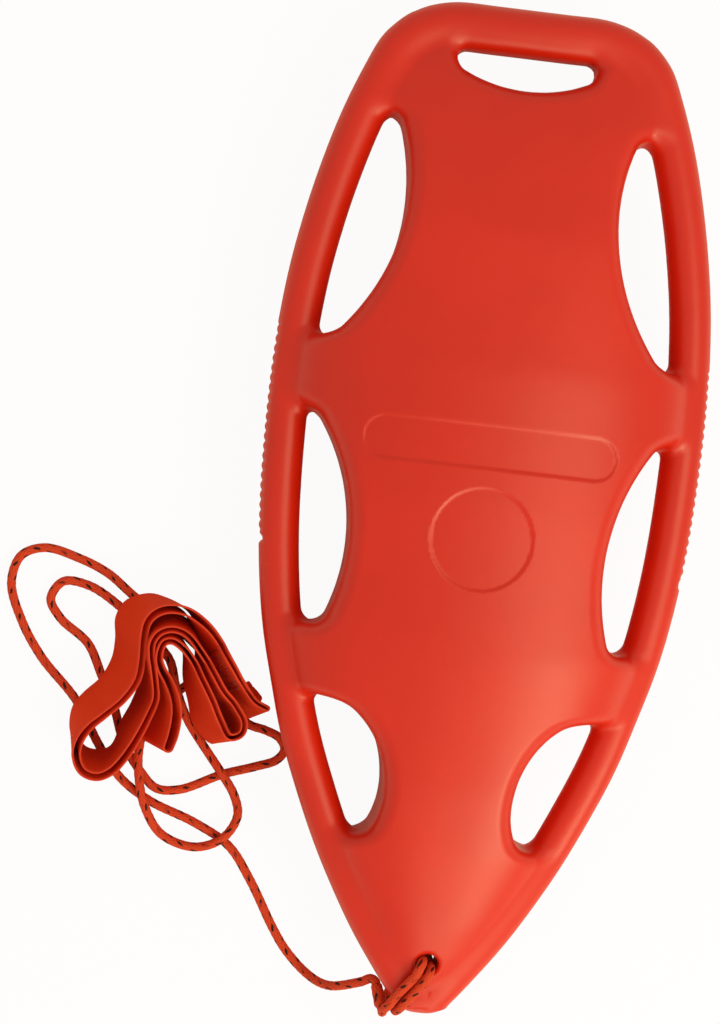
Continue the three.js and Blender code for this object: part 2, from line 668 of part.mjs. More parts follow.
// Raised box of stitches on the strap's outer face, where its two ends lap
function boxStitch() {
  const start = stitchFromEnd / strapTop.getLength();
  const bandSteps = 10;
  const face = foldSpacing / 2 + webbingThickness / 2 + gap;
  const margin = (1 - stitchHeight / webbingWidth) / 2;
  const share = stitchLength / strapTop.getLength();
  const outerBlock = [];
  const inner = [];
  const slab = (rings, fromShare, toShare, edge, under, over) => {
    for (let step = 0; step <= bandSteps; step += 1) {
      const place = strapPlace(THREE.MathUtils.lerp(fromShare, toShare, step / bandSteps), 0);
      const high = place.top.clone().lerp(place.foot, edge);
      const low = place.top.clone().lerp(place.foot, 1 - edge);
      rings.push([
        high.clone().addScaledVector(place.across, over),
        high.clone().addScaledVector(place.across, under),
        low.clone().addScaledVector(place.across, under),
        low.clone().addScaledVector(place.across, over),
      ]);
    }
  };
  slab(outerBlock, start, start + share, margin, face, face + stitchThickness);
  const band = stitchBand / strapTop.getLength();
  const bandHeight = stitchBand / webbingWidth;
  slab(
    inner,
    start + band,
    start + share - band,
    margin + bandHeight,
    face - 3 * stitchThickness,
    face + 3 * stitchThickness,
  );
  return solid(skin(outerBlock, false)).subtract(solid(skin(inner, false)));
}

function material(color, roughness, metalness) {
  return new THREE.MeshStandardMaterial({ color, roughness, metalness });
}

const hullRed = material('#dc3c28', 0.45, 0);
const foamCream = material('#e8dcc0', 0.9, 0);
const brassYellow = material('#b89a50', 0.35, 0.9);
const plugBlack = material('#2a2a2c', 0.5, 0);
const rubberBlack = material('#1c1c1c', 0.8, 0);
const lineRed = material('#e04028', 0.75, 0);
const whippingRed = material('#a82c1c', 0.8, 0);
const webbingRed = material('#c0381f', 0.85, 0);

function piece(name, geometry, look) {
  const mesh = new THREE.Mesh(geometry, look);
  mesh.name = name;
  return mesh;
}

const group = new THREE.Group();

group.add(piece('hull_shell', geometryOf(hullShell()), hullRed));
group.add(piece('foam_core', geometryOf(foamCore()), foamCream));
group.add(piece('vent_insert', closedGeometry(ventBush()), brassYellow));
group.add(piece('vent_seal', closedGeometry(ventSeal()), rubberBlack));
group.add(piece('vent_plug', geometryOf(ventPlug()), plugBlack));
group.add(piece('tow_eye', closedGeometry(lineTube(eyeRoute, eyeSteps)), lineRed));
group.add(piece('nose_splice', taperedSleeve(), whippingRed));
group.add(piece('tow_line', closedGeometry(lineTube(lineRoute, lineSteps)), lineRed));
group.add(piece('line_tunnel', closedGeometry(lineTunnel()), webbingRed));
group.add(piece('shoulder_strap', strapBand(), webbingRed));
group.add(piece('box_stitch', geometryOf(boxStitch()), whippingRed));

export default group;
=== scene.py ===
import math

import bpy
import numpy as np
from bpy.props import FloatProperty, FloatVectorProperty, PointerProperty
from bpy.types import Operator, Panel, PropertyGroup
from mathutils import Matrix, Vector


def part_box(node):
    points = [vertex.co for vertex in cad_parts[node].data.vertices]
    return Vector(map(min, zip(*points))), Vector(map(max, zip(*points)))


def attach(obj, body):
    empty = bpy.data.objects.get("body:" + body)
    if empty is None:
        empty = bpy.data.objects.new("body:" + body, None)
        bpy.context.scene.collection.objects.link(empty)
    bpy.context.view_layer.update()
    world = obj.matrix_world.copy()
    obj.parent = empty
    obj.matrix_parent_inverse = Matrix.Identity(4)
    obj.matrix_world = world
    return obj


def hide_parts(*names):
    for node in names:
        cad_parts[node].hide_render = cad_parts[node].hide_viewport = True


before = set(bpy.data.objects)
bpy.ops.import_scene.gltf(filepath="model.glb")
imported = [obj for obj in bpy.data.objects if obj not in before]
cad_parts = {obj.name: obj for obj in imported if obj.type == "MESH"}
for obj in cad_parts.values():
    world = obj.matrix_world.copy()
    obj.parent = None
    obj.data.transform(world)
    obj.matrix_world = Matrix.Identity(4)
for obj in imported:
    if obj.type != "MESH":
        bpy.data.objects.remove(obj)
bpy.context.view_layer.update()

bl_info = {
    "name": "Rescue can",
    "version": (1, 0, 0),
    "blender": (4, 5, 0),
    "location": "3D View > Sidebar > Rescue can",
    "description": "A moulded rescue can with its vent, braided line and shoulder strap",
    "category": "Add Mesh",
}

PLUG_LOW, PLUG_HIGH = (np.array(corner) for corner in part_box("vent_plug"))
SEAL_LOW, SEAL_HIGH = (np.array(corner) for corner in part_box("vent_seal"))
MM = 0.001
TINY = 1e-6


def metres(*points):
    """Points given in millimetres, in metres."""
    return tuple(tuple(value * MM for value in point) for point in points)


# Hand openings: along the hull in shares of half its length, across it in shares of half its beam.
# Each is (low, high, place of the arc, centre of the arc, its depth, its reach to nose and to tail).
HAND_HOLE_SHARES = (
    (0.3108, 0.7635, 0.6000, 1.4225, 0.9533, 0.4189, 0.4189),
    (-0.2514, 0.1676, -0.0892, 1.4865, 0.9225, 0.4054, 0.4054),
    (-0.6532, -0.3870, -0.5649, 0.6421, 0.3567, 0.1568, 0.1838),
)

# Right half of the outline from the nose to the tail, in shares of half the beam and half the length
OUTLINE_SHARES = (
    (0, -1), (0.060, -0.997), (0.106, -0.984), (0.146, -0.967), (0.185, -0.947), (0.234, -0.919),
    (0.323, -0.865), (0.402, -0.811), (0.541, -0.703), (0.657, -0.595), (0.758, -0.486),
    (0.833, -0.378), (0.899, -0.270), (0.943, -0.162), (0.976, -0.027), (0.992, 0.162),
    (0.987, 0.297), (0.963, 0.432), (0.925, 0.541), (0.873, 0.649), (0.806, 0.757), (0.726, 0.854),
    (0.664, 0.914), (0.603, 0.946), (0.541, 0.968), (0.467, 0.985), (0.381, 0.996), (0.307, 1),
    (0.154, 1),
)

# Half thickness of the body along the hull, in shares of half the length and of the deck's height
THICKNESS_SHARES = (
    (-0.979, 0.086), (-0.946, 0.179), (-0.919, 0.243), (-0.892, 0.321), (-0.811, 0.457),
    (-0.676, 0.621), (-0.541, 0.757), (-0.270, 0.943), (0, 1), (0.270, 0.957), (0.541, 0.771),
    (0.757, 0.514), (0.838, 0.386), (0.892, 0.286), (0.946, 0.143),
)

# Radius of the rim along the hull: shares of the nose rim, the side grip and the tail grip in it
RIM_SHARES = (
    (-1, 1, 0, 0), (-0.919, 0.45, 0.55, 0), (-0.811, 0.1, 0.85, 0), (-0.5, 0, 0.95, 0),
    (0, 0, 1, 0), (0.6, 0, 0.55, 0.45), (0.9, 0, 0, 1), (1, 0, 0, 1),
)

# Route of the towing line, from the eye's sleeve down to the floor and in loose loops to the strap
LINE_ROUTE = metres(
    (-32.8, -355.3, 59.7), (-33.4, -353.4, 58.8), (-37, -352.4, 55.1), (-42.6, -356, 51.2),
    (-50, -359.8, 46), (-57.8, -363.8, 38.5), (-64.9, -366.8, 30), (-73, -367.5, 20),
    (-81.8, -364.9, 10.5), (-90.9, -359, 5), (-102.5, -347.5, 4), (-113, -333, 4), (-134, -299, 4),
    (-153, -275, 4), (-181, -260, 4), (-217, -247, 4), (-241, -232, 4), (-260, -209, 4), (-281, -177, 4),
    (-311, -147, 4), (-329, -121, 4), (-340, -93, 4), (-335, -72, 4), (-318, -64, 4), (-291, -69, 4),
    (-268, -78, 4), (-245, -94, 4), (-215, -111, 4), (-181, -138, 4), (-161, -169, 4), (-149, -180.5, 4),
    (-135, -184, 4), (-124, -188.5, 4), (-119, -197, 4), (-124, -205.5, 4), (-140, -212.5, 4),
    (-164, -221, 4), (-195, -236, 4), (-213, -237, 4), (-226, -226, 4), (-241, -206, 4), (-253, -176, 4),
    (-264, -156, 4), (-277, -133, 4), (-300, -116, 4), (-309, -102, 4), (-301, -88, 4), (-281, -89, 4),
    (-258, -101, 4), (-233, -121, 4.4), (-214, -138, 6.6), (-206, -159, 11.7), (-195, -182, 7.5),
    (-176, -206, 8.5), (-164, -220, 11.7), (-153, -236, 8), (-149, -251, 8), (-158, -268, 11.7),
    (-179, -278, 7), (-205, -271, 7), (-220, -250, 11.7), (-227, -227, 11.8), (-229, -208, 9),
    (-226, -190, 5), (-203, -160, 4.2), (-188, -148, 9), (-178, -142.5, 11.7), (-170, -141.5, 10.5),
    (-163.5, -145.2, 10.3), (-156.7, -151, 12.1), (-145.5, -161.6, 15.2),
)

# The eye: twice round the nose's lip through the tow hole, both ends in the sleeve
EYE_ROUTE = metres(
    (-28.8, -366.7, 69.5), (-28, -369, 70.5), (-26.4, -368.8, 73.9), (-22.9, -363.6, 80.9),
    (-19, -356.2, 84), (-15.2, -350.2, 87.2), (-10.6, -343, 91.3), (-7.2, -336.8, 94.7),
    (-5.2, -331.9, 96.1), (-3.7, -328.5, 92.7), (-3.1, -327.5, 86), (-3.1, -327.5, 70),
    (-3.1, -327.5, 50), (-4.2, -330, 44.5), (-8.6, -338, 47.2), (-10.6, -347.5, 51.6),
    (-13.6, -361.8, 57.2), (-17.6, -370.2, 70), (-13.8, -363.4, 82.6), (-8.8, -355.3, 87),
    (-4, -347.2, 91.1), (-0.3, -340.7, 94.8), (1.8, -336.3, 95.3), (2.9, -333, 90), (3.1, -332.5, 82),
    (3.1, -332.5, 70), (3.1, -332.5, 50), (2, -334.5, 42.5), (-3, -340, 39.4), (-9.5, -345.5, 39.8),
    (-16, -352.5, 42.6), (-21.5, -361, 46.5), (-24.6, -369.3, 50.8), (-25.4, -374, 55.8),
    (-26.1, -375, 60), (-26.8, -372.3, 63.4), (-27.7, -369.9, 62.2),
)

# The strap's upper edge seen from above, and the lean of its lower edge, in shares of its span
STRAP_SHARES = (
    (0.695, 0.03, -0.14, -0.12), (0.605, 0.07, -0.15, -0.07), (0.495, 0.2, -0.15, -0.08),
    (0.415, 0.315, -0.145, -0.1), (0.23, 0.55, -0.12, -0.11), (0.115, 0.635, -0.07, -0.06),
    (0.02, 0.675, -0.04, -0.02), (-0.1, 0.68, -0.07, 0.04), (-0.195, 0.64, -0.11, 0.1),
    (-0.255, 0.56, -0.2, 0.12), (-0.27, 0.43, -0.25, 0.12), (-0.27, 0.28, -0.24, 0.12),
    (-0.285, 0.12, -0.23, 0.12), (-0.37, -0.03, -0.21, 0.11), (-0.495, -0.16, -0.2, 0.11),
    (-0.595, -0.26, -0.17, 0.1), (-0.655, -0.37, -0.12, 0.08), (-0.665, -0.48, -0.08, 0.1),
    (-0.61, -0.58, -0.04, 0.11), (-0.5, -0.61, -0.03, 0.13), (-0.4, -0.56, -0.05, 0.12),
    (-0.32, -0.46, -0.09, 0.11), (-0.24, -0.31, -0.15, 0.07), (-0.17, -0.13, -0.16, 0.04),
    (-0.135, 0, -0.16, 0.06), (-0.15, 0.11, -0.15, 0.06), (-0.175, 0.23, -0.15, 0.07),
    (-0.195, 0.32, -0.15, 0.07), (-0.2, 0.415, -0.11, 0.09), (-0.16, 0.49, -0.08, 0.095),
    (-0.08, 0.53, -0.05, 0.088), (-0.005, 0.525, -0.03, 0.078), (0.065, 0.49, -0.03, 0.058),
    (0.155, 0.4, -0.06, 0.03), (0.26, 0.275, -0.14, -0.03), (0.37, 0.12, -0.17, -0.03),
    (0.475, 0.005, -0.19, -0.03), (0.54, -0.1, -0.19, -0.02), (0.525, -0.185, -0.15, -0.05),
    (0.445, -0.205, -0.14, -0.11), (0.37, -0.105, -0.21, -0.09), (0.285, 0.055, -0.19, -0.06),
    (0.2, 0.19, -0.16, -0.03), (0.11, 0.32, -0.1, 0.045), (0.025, 0.405, -0.08, 0.068),
    (-0.055, 0.445, -0.08, 0.078), (-0.11, 0.43, -0.09, 0.075), (-0.135, 0.37, -0.11, 0.055),
    (-0.135, 0.295, -0.12, 0.03), (-0.105, 0.22, -0.14, 0.03), (-0.05, 0.145, -0.15, 0.03),
    (0, 0.055, -0.16, 0.02), (0.03, -0.045, -0.17, 0.02), (0.035, -0.145, -0.18, 0.02),
    (0.025, -0.25, -0.18, 0.03), (0.005, -0.335, -0.19, 0.01),
)

# How far apart the strap's layers are along it, in shares of the fold spacing
SPREAD_SHARES = (
    (0, 1), (0.05, 1.2), (0.09, 1.7), (0.14, 1.9), (0.19, 1.45), (0.25, 1.35), (0.3, 1.75),
    (0.38, 1.75), (0.45, 1.3), (0.86, 1.3), (0.91, 2.1), (0.98, 2.3), (1, 2.1),
)

# How much closer the layers stand at the floor, and where along the strap that starts and ends
FOOT_CLOSING_SHARE = 0.55
CLOSING_SHARES = (0.07, 0.12, 0.82, 0.90)

# Half of the webbing's section: places across it, and the thickness there in shares of the whole
EDGE_SHARES = (
    (0.010, 0.55), (0.022, 0.9), (0.045, 1), (0.075, 0.86), (0.14, 0.86), (0.26, 0.86), (0.38, 0.86),
)
BUNDLE_MIDDLE = (-0.205, -0.165)
FLOOR_CLEARANCE = 0.0003
# The strap is lifted over the line: how far to each side, and by every fourth of the line's points
LIFT_REACH, LIFT_STRIDE = 0.026, 4

# The eye's sleeve, and how much wider than the line it is along its length
SLEEVE_START, SLEEVE_WAY, SLEEVE_LENGTH = (-0.0284, -0.3678, 0.0657), (-0.3, 0.86, -0.41), 0.014
SLEEVE_WIDE, SLEEVE_TALL, SLEEVE_COVER = 0.0048, 0.0082, 0.0008
SLEEVE_ENDS_SHARES, SLEEVE_LIP_SHARE, SLEEVE_LIP_DEPTHS = (-0.12, 1.04), 0.10, (0.22, 0.15)
SLEEVE_TAPER_SHARES = ((0, 1), (0.12, 1), (0.5, 0.55), (0.85, 0.1), (1, 0))

# Half section of the sewn tunnel at the line's end: radius and place along it
TUNNEL_SECTION = metres(
    (3.8, 0), (4.087, 0.182), (4.7, 0), (5.7, 0.1), (6.3, 1), (6.1, 4.5), (5.6, 5.2), (6.1, 5.9),
    (6.3, 10), (6.2, 15.5), (5.5, 17.1), (3.8, 18), (0.8, 18), (0.8, 15.5), (3.8, 15.5),
)
TUNNEL_PAST_END = -0.0152

# The cover's strands each way round, their dip where they pass under, and the steps of its skin
STRANDS, UNDER_DIP_SHARE = 8, 0.45
BRAID_SIDES, LINE_STEP = 40, 0.0009

# One stitch: places along it, and its thickness there
STITCH_SHARES = ((0, 0.35), (0.15, 0.9), (0.5, 1), (0.85, 0.9), (1, 0.35))


def length(name, default, description):
    """A size that a user may change, in metres."""
    return FloatProperty(
        name=name, default=default, description=description, min=0, subtype="DISTANCE", unit="LENGTH",
        precision=4,
    )


def colour(name, default, description):
    """A finish that a user may change."""
    return FloatVectorProperty(
        name=name, default=default, description=description, subtype="COLOR", size=3, min=0, max=1,
    )


class HullSizes(PropertyGroup):
    """Sizes of the moulding."""

    hull_length: length("Length", 0.740, "From the nose to the tail grip")
    beam: length("Beam", 0.3252, "Over both side grips")
    deck_height: length("Deck height", 0.070, "From the mid-plane to the top of the deck")
    belly_depth: length("Belly depth", 0.0715, "From the mid-plane to the belly before its flat is cut")
    mid_plane: length("Mid-plane", 0.070, "Height of the rim's middle over the floor")
    side_grip: length("Side grip radius", 0.015, "Radius of the rim beside the hand openings")
    tail_grip: length("Tail grip radius", 0.0158, "Radius of the rim across the tail")
    nose_rim: length("Nose rim radius", 0.009, "Radius of the rim round the nose")
    tow_hole: length("Tow hole radius", 0.008, "Radius of the upright hole in the nose")
    tow_hole_from_nose: length("Tow hole from nose", 0.040, "Middle of the tow hole behind the nose")
    edge_round: length("Opening edge", 0.012, "Radius on the deck's edge round each opening")
    grip_blend: length("Grip blend", 0.009, "Radius in the corner between the grips and the body")
    rib_pitch: length("Rib pitch", 0.0072, "From one moulded rib to the next")
    rib_depth: length("Rib depth", 0.0014, "How deep the grooves between the ribs are")
    recess_depth: length("Recess depth", 0.0012, "Depth of the blank name panel and disc")
    vent_y: length("Vent place", 0.190, "Middle of the vent towards the tail")
    step: length("Skin step", 0.003, "Coarse spacing of the skin's points")
    fine_step: length("Fine skin step", 0.0014, "Spacing over the ribs and the recesses")


class LineSizes(PropertyGroup):
    """Sizes of the towing line and the strap."""

    diameter: length("Line diameter", 0.007, "Over the braid")
    braid_lead: length("Braid lead", 0.044, "Length in which a strand goes once round")
    braid_relief: length("Braid relief", 0.00035, "How far the strands stand out")
    webbing_width: length("Webbing width", 0.050, "From edge to edge")
    webbing_thickness: length("Webbing thickness", 0.0017, "Through one layer")
    fold_spacing: length("Fold spacing", 0.0032, "Between the middles of the two layers")
    bundle_span: length("Bundle span", 0.100, "Scale of the folded bundle")


class Finishes(PropertyGroup):
    """Colours of the materials, linear."""

    hull: colour("Hull", (0.625, 0.015, 0.001), "Moulded polyethylene")
    line: colour("Line", (0.66, 0.060, 0.019), "Braided cover")
    tracer: colour("Tracer", (0.030, 0.006, 0.005), "Dark strands in the cover")
    webbing: colour("Webbing", (0.80, 0.052, 0.009), "Woven strap")
    thread: colour("Thread", (0.34, 0.022, 0.006), "Sewn thread")
    brass: colour("Bush", (0.50, 0.33, 0.08), "Turned brass")
    plug: colour("Plug", (0.02, 0.02, 0.022), "Moulded nylon")
    seal: colour("Seal", (0.012, 0.012, 0.012), "Rubber")
    foam: colour("Foam", (0.80, 0.71, 0.52), "Closed-cell foam")


# Curves and tables


def table(rows, at, column):
    """The value in a column of a table whose first column rises, with straight lines between rows."""
    rows = np.array(rows, float)
    return np.interp(at, rows[:, 0], rows[:, column])


def spline(points, at, closed=False, even=True):
    """Points on a smooth curve through points, at places from 0 to 1. An even curve is centripetal."""
    points = np.array(points, float)
    count = len(points)
    spans = count if closed else count - 1
    where = np.clip(np.asarray(at, float), 0, 1) * spans
    span = np.minimum(where.astype(int), spans - 1)
    t = (where - span)[:, None]
    if closed:
        before, start, end, after = (points[(span + k) % count] for k in (-1, 0, 1, 2))
    else:
        padded = np.vstack([2 * points[0] - points[1], points, 2 * points[-1] - points[-2]])
        before, start, end, after = (padded[span + k] for k in range(4))
    first, middle, last = (
        np.maximum(np.linalg.norm(b - a, axis=1), TINY**2)[:, None] ** (0.5 if even else 0)
        for a, b in ((before, start), (start, end), (end, after))
    )
    leave = (start - before) / first - (end - before) / (first + middle) + (end - start) / middle
    arrive = (end - start) / middle - (after - start) / (middle + last) + (after - end) / last
    leave, arrive = leave * middle, arrive * middle
    return (
        start + leave * t
        + (3 * (end - start) - 2 * leave - arrive) * t**2
        + (2 * (start - end) + leave + arrive) * t**3
    )


def even_places(points, count, closed=False, finer=60):
    """Places on a smooth curve that are equally far apart along it, and its length."""
    dense = np.linspace(0, 1, finer * len(points))
    run = spline(points, dense, closed)
    along = np.concatenate([[0], np.cumsum(np.linalg.norm(np.diff(run, axis=0), axis=1))])
    return np.interp(np.linspace(0, along[-1], count), along, dense), along[-1]


def unit(vectors):
    """Vectors of the same directions, each of length one."""
    return vectors / np.maximum(np.linalg.norm(vectors, axis=-1, keepdims=True), TINY**2)


def tangents(points):
    """The direction of a path at each of its points."""
    return unit(np.gradient(points, axis=0))


def carried_frames(points):
    """For each point of a path, two directions across it that turn as little as they can."""
    ways = tangents(points)
    side = unit(np.cross(ways[0], (0.1, 0.2, 1.0)))
    sides = [side]
    for way in ways[1:]:
        side = unit(side - way * side.dot(way))
        sides.append(side)
    sides = np.array(sides)
    return sides, np.cross(ways, sides)


def smooth(low, high, value):
    """0 below low, 1 above high, and a smooth step between."""
    share = np.clip((value - low) / (high - low), 0, 1)
    return share * share * (3 - 2 * share)


def rounded_max(a, b, radius):
    """Where both distances hold, with a round edge of that radius."""
    return np.minimum(-radius, np.maximum(a, b)) + np.sqrt(
        np.maximum(a + radius, 0) ** 2 + np.maximum(b + radius, 0) ** 2
    )


def rounded_min(a, b, radius):
    """Where either distance holds, with a round corner of that radius."""
    return -rounded_max(-a, -b, radius)


def circle(count):
    """Angles evenly round a circle."""
    return 2 * math.pi * np.linspace(0, 1, count, endpoint=False)


def rings_about(path, side, over, wide, tall):
    """Rings round a path, wide along one direction across it and tall along the other."""
    turn = circle(wide.shape[-1])
    return (
        path[:, None, :]
        + side[..., None, :] * (np.cos(turn) * wide)[..., None]
        + over[..., None, :] * (np.sin(turn) * tall)[..., None]
    )


# The hull as a distance to its surface


class HullForm:
    """Distance from a point to the moulding's surface, less than zero inside it."""

    # The body's lens: the power of its section, and the clearance and wall that end it
    fullness, nose_clearance, wall = 2.15, 0.00036, 0.0035
    # Corners of the hand openings, and the round edge of the tow hole
    hole_corner, tow_edge = 0.007, 0.0035
    # Tail opening: half its length, its flat side, and the middle and radius of its round side
    tail_hole = (0.0515, 0.3378, 0.4020, 0.095)
    # Its corners beside the tail grip and beside the deck
    tail_corners = (0.008, 0.006)
    # Ribs: where they start and end, how they fade out and back, how far round the grip they show
    rib_zone, rib_fade = (-0.038, 0.120), (0.002, 0.001)
    rib_facing, rib_shoulder = (0.15, 0.55), (0.35, 0.62)
    # Notch: its place, half width and depth
    notch = (-0.0365, 0.0042, 0.0030)
    # Blank panel: length, width and place. Blank disc: radius and place. The round edge of both
    panel, disc, recess_edge = (0.180, 0.030, 0.045), (0.036, -0.020), 0.0032
    # Vent: height of the plug's seat, radius of its recess, radius and top of the bush's hole, and
    # the round edge of the recess and of the belly's flat
    vent_seat, vent_recess, bush_hole, vent_edge = 0.0195, 0.017, (0.0120, 0.036), 0.0012
    # How finely the outline and the body's curves are worked out
    outline_steps, body_steps, body_smoothing, body_least_width = 2600, 741, 31, 0.001
    # How a point's nearest place on the outline is guessed and then followed
    guess_step, guess_margin, guess_stride = 0.004, 0.012, 8
    follow_steps, longest_follow, least_stretch = 4, 40, 0.4

    def __init__(self, sizes):
        self.sizes = sizes
        self.half_length = sizes.hull_length / 2
        self.half_beam = sizes.beam / 2
        right = [(x * self.half_beam, y * self.half_length) for x, y in OUTLINE_SHARES]
        left = [(-x, y) for x, y in reversed(right[1:])]
        places, around = even_places(np.array(right + left), 2 * self.outline_steps, closed=True)
        ring = spline(np.array(right + left), places, closed=True)
        half = ring[: self.outline_steps + 1]
        self.edge = half
        self.edge_step = around / (2 * self.outline_steps - 1)
        self.way = unit(np.gradient(half, axis=0))
        self.inward = np.stack([-self.way[:, 1], self.way[:, 0]], axis=1)
        bend = np.gradient(self.way, axis=0) / self.edge_step
        self.bend = (bend * self.inward).sum(axis=1)
        self.start_guesses()
        self.span = np.linspace(-self.half_length, self.half_length, self.body_steps)
        tall = table(THICKNESS_SHARES, self.span / self.half_length, 1) * sizes.deck_height
        weights = np.hanning(self.body_smoothing)
        tall = np.pad(tall, self.body_smoothing // 2, mode="edge")
        self.tall = np.convolve(tall, weights / weights.sum(), mode="valid")
        between_rims = self.half_width(self.span) - self.rim_radius(self.span)
        self.wide = np.maximum(between_rims, self.body_least_width)

    def start_guesses(self):
        """A coarse map of the nearest outline point, from which each point's own is followed."""
        step, margin, stride = self.guess_step, self.guess_margin, self.guess_stride
        self.guess_x = np.arange(0, self.half_beam + margin, step)
        self.guess_y = np.arange(-self.half_length - margin, self.half_length + margin, step)
        x, y = np.meshgrid(self.guess_x, self.guess_y, indexing="ij")
        far = (x[..., None] - self.edge[::stride, 0]) ** 2 + (y[..., None] - self.edge[::stride, 1]) ** 2
        self.guess = far.argmin(axis=-1) * float(stride)

    def outline(self, x, y):
        """Distance to the outline, less than zero inside it, and the nearest outline point's y."""
        column = np.clip(np.rint(x / self.guess_step).astype(int), 0, len(self.guess_x) - 1)
        row = np.rint((y - self.guess_y[0]) / self.guess_step).astype(int)
        at = self.guess[column, np.clip(row, 0, len(self.guess_y) - 1)]
        steps = np.arange(len(self.edge))
        for _ in range(self.follow_steps):
            edge_x, edge_y, way_x, way_y, in_x, in_y, bend = (
                np.interp(at, steps, values)
                for values in (*self.edge.T, *self.way.T, *self.inward.T, self.bend)
            )
            out_x, out_y = x - edge_x, y - edge_y
            along = out_x * way_x + out_y * way_y
            depth = out_x * in_x + out_y * in_y
            move = along / np.maximum(1 - bend * depth, self.least_stretch) / self.edge_step
            move = np.clip(move, -self.longest_follow, self.longest_follow)
            at = np.clip(at + move, 0, len(self.edge) - 1)
        return -depth, edge_y

    def half_width(self, y):
        """Half the outline's width at places along the hull."""
        order = np.argsort(self.edge[:, 1])
        return np.interp(y, self.edge[order, 1], self.edge[order, 0])

    def rim_radius(self, y):
        """Radius of the rim at places along the hull."""
        rims = (self.sizes.nose_rim, self.sizes.side_grip, self.sizes.tail_grip)
        share = y / self.half_length
        return sum(rim * table(RIM_SHARES, share, column) for column, rim in enumerate(rims, 1))

    def body(self, x, y, z):
        """The lens between the rims, with every point's distance made even by its slope."""
        power = self.fullness
        width, width_slope, height, height_slope = (
            np.interp(y, self.span, values)
            for curve in (self.wide, self.tall)
            for values in (curve, np.gradient(curve, self.span))
        )
        height = np.where(z > 0, height, height * self.sizes.belly_depth / self.sizes.deck_height)
        across, rise = np.maximum(x / width, TINY), np.maximum(np.abs(z) / height, TINY)
        total = across**power + rise**power
        reach = total ** (1 / power)
        steep = reach ** (1 - power)
        slope_x = across ** (power - 1) / width * steep
        slope_z = rise ** (power - 1) / height * steep
        slope_y = (across**power * width_slope / width + rise**power * height_slope / height) * steep
        lens = (reach - 1) / np.sqrt(slope_x**2 + slope_y**2 + slope_z**2)
        nose = -self.half_length + self.sizes.nose_rim - self.nose_clearance
        tail = self.half_length - self.sizes.tail_grip - self.wall
        return np.maximum(lens, np.maximum(nose - y, y - tail))

    def hand_hole(self, shares, x, y, edge, rim):
        """Distance to one upright hand opening, out to the rim's middle."""
        low, high, arc_at, arc_x, arc_depth, to_nose, to_tail = shares
        reach = np.where(y < arc_at * self.half_length, to_nose, to_tail) * self.half_length
        across = (x - arc_x * self.half_beam) / (arc_depth * self.half_beam)
        along = (y - arc_at * self.half_length) / reach
        round_ = np.sqrt(across**2 + along**2)
        slope = np.sqrt((across / (arc_depth * self.half_beam)) ** 2 + (along / reach) ** 2)
        arc = (round_ - 1) * round_ / np.maximum(slope, TINY)
        ends = np.maximum(low * self.half_length - y, y - high * self.half_length)
        hole = rounded_max(arc, ends, self.hole_corner)
        return np.maximum(hole, edge + rim - self.sizes.grip_blend / 2)

    def __call__(self, x, y, z):
        """Distance at points given by x, y and the height over the floor."""
        sizes = self.sizes
        x = np.abs(x)
        rise = z - sizes.mid_plane
        edge, edge_y = self.outline(x, y)
        rim = self.rim_radius(edge_y)
        body = self.body(x, y, rise)
        for shares in HAND_HOLE_SHARES:
            hole = self.hand_hole(shares, x, y, edge, rim)
            body = rounded_max(body, -hole, sizes.edge_round)
        reach, flat, centre, radius = self.tail_hole
        at_grip, at_deck = self.tail_corners
        ends = rounded_max(x - reach, y - flat, at_grip)
        hole = rounded_max(np.hypot(x, y - centre) - radius, ends, at_deck)
        body = rounded_max(body, -hole, sizes.edge_round)
        from_middle = edge + rim
        ring = np.hypot(from_middle, rise)
        hull = rounded_min(body, ring - rim, sizes.grip_blend)
        ring = np.maximum(ring, TINY)
        hull = hull + self.marks(y, from_middle / ring, rise / ring)
        hull = hull + self.recesses(x, y) * sizes.recess_depth * (rise > 0)
        tow_y = -self.half_length + sizes.tow_hole_from_nose
        hull = rounded_max(hull, sizes.tow_hole - np.hypot(x, y - tow_y), self.tow_edge)
        from_vent = np.hypot(x, y - sizes.vent_y)
        seat = np.maximum(from_vent - self.vent_recess, z - self.vent_seat)
        hull = rounded_max(hull, -seat, self.vent_edge)
        bore, bore_top = self.bush_hole
        hull = np.maximum(hull, -np.maximum(from_vent - bore, z - bore_top))
        return rounded_max(hull, -z, self.vent_edge)

    def marks(self, y, facing, raised):
        """Depth of the grooves between the ribs, and of the notch, on the grips' outer and lower side."""
        low, high = self.rib_zone
        out, back = self.rib_fade
        inside = smooth(low - out, low + back, y) * (1 - smooth(high - back, high + out, y))
        ribs = self.sizes.rib_depth * (1 - np.abs(np.sin(np.pi * (y - low) / self.sizes.rib_pitch)))
        notch_y, notch_half, notch_depth = self.notch
        notch = notch_depth * np.clip(1 - np.abs(y - notch_y) / notch_half, 0, 1)
        shown = smooth(*self.rib_facing, facing) * (1 - smooth(*self.rib_shoulder, raised))
        return (ribs * inside + notch) * shown

    def recesses(self, x, y):
        """1 in the blank name panel and the blank disc, 0 outside them, with a soft edge."""
        long, wide, panel_y = self.panel
        radius, disc_y = self.disc
        panel = np.hypot(np.maximum(x - (long - wide) / 2, 0), y - panel_y) - wide / 2
        disc = np.hypot(x, y - disc_y) - radius
        return smooth(self.recess_edge / 2, -self.recess_edge / 2, np.minimum(panel, disc))


def graded(low, high, fine_low, fine_high, fine, coarse):
    """Places from low to high, a fine step apart in one stretch and a coarse step elsewhere."""
    parts = [
        np.arange(low, fine_low, coarse), np.arange(fine_low, fine_high, fine),
        np.arange(fine_high, high + coarse, coarse),
    ]
    return np.concatenate(parts)


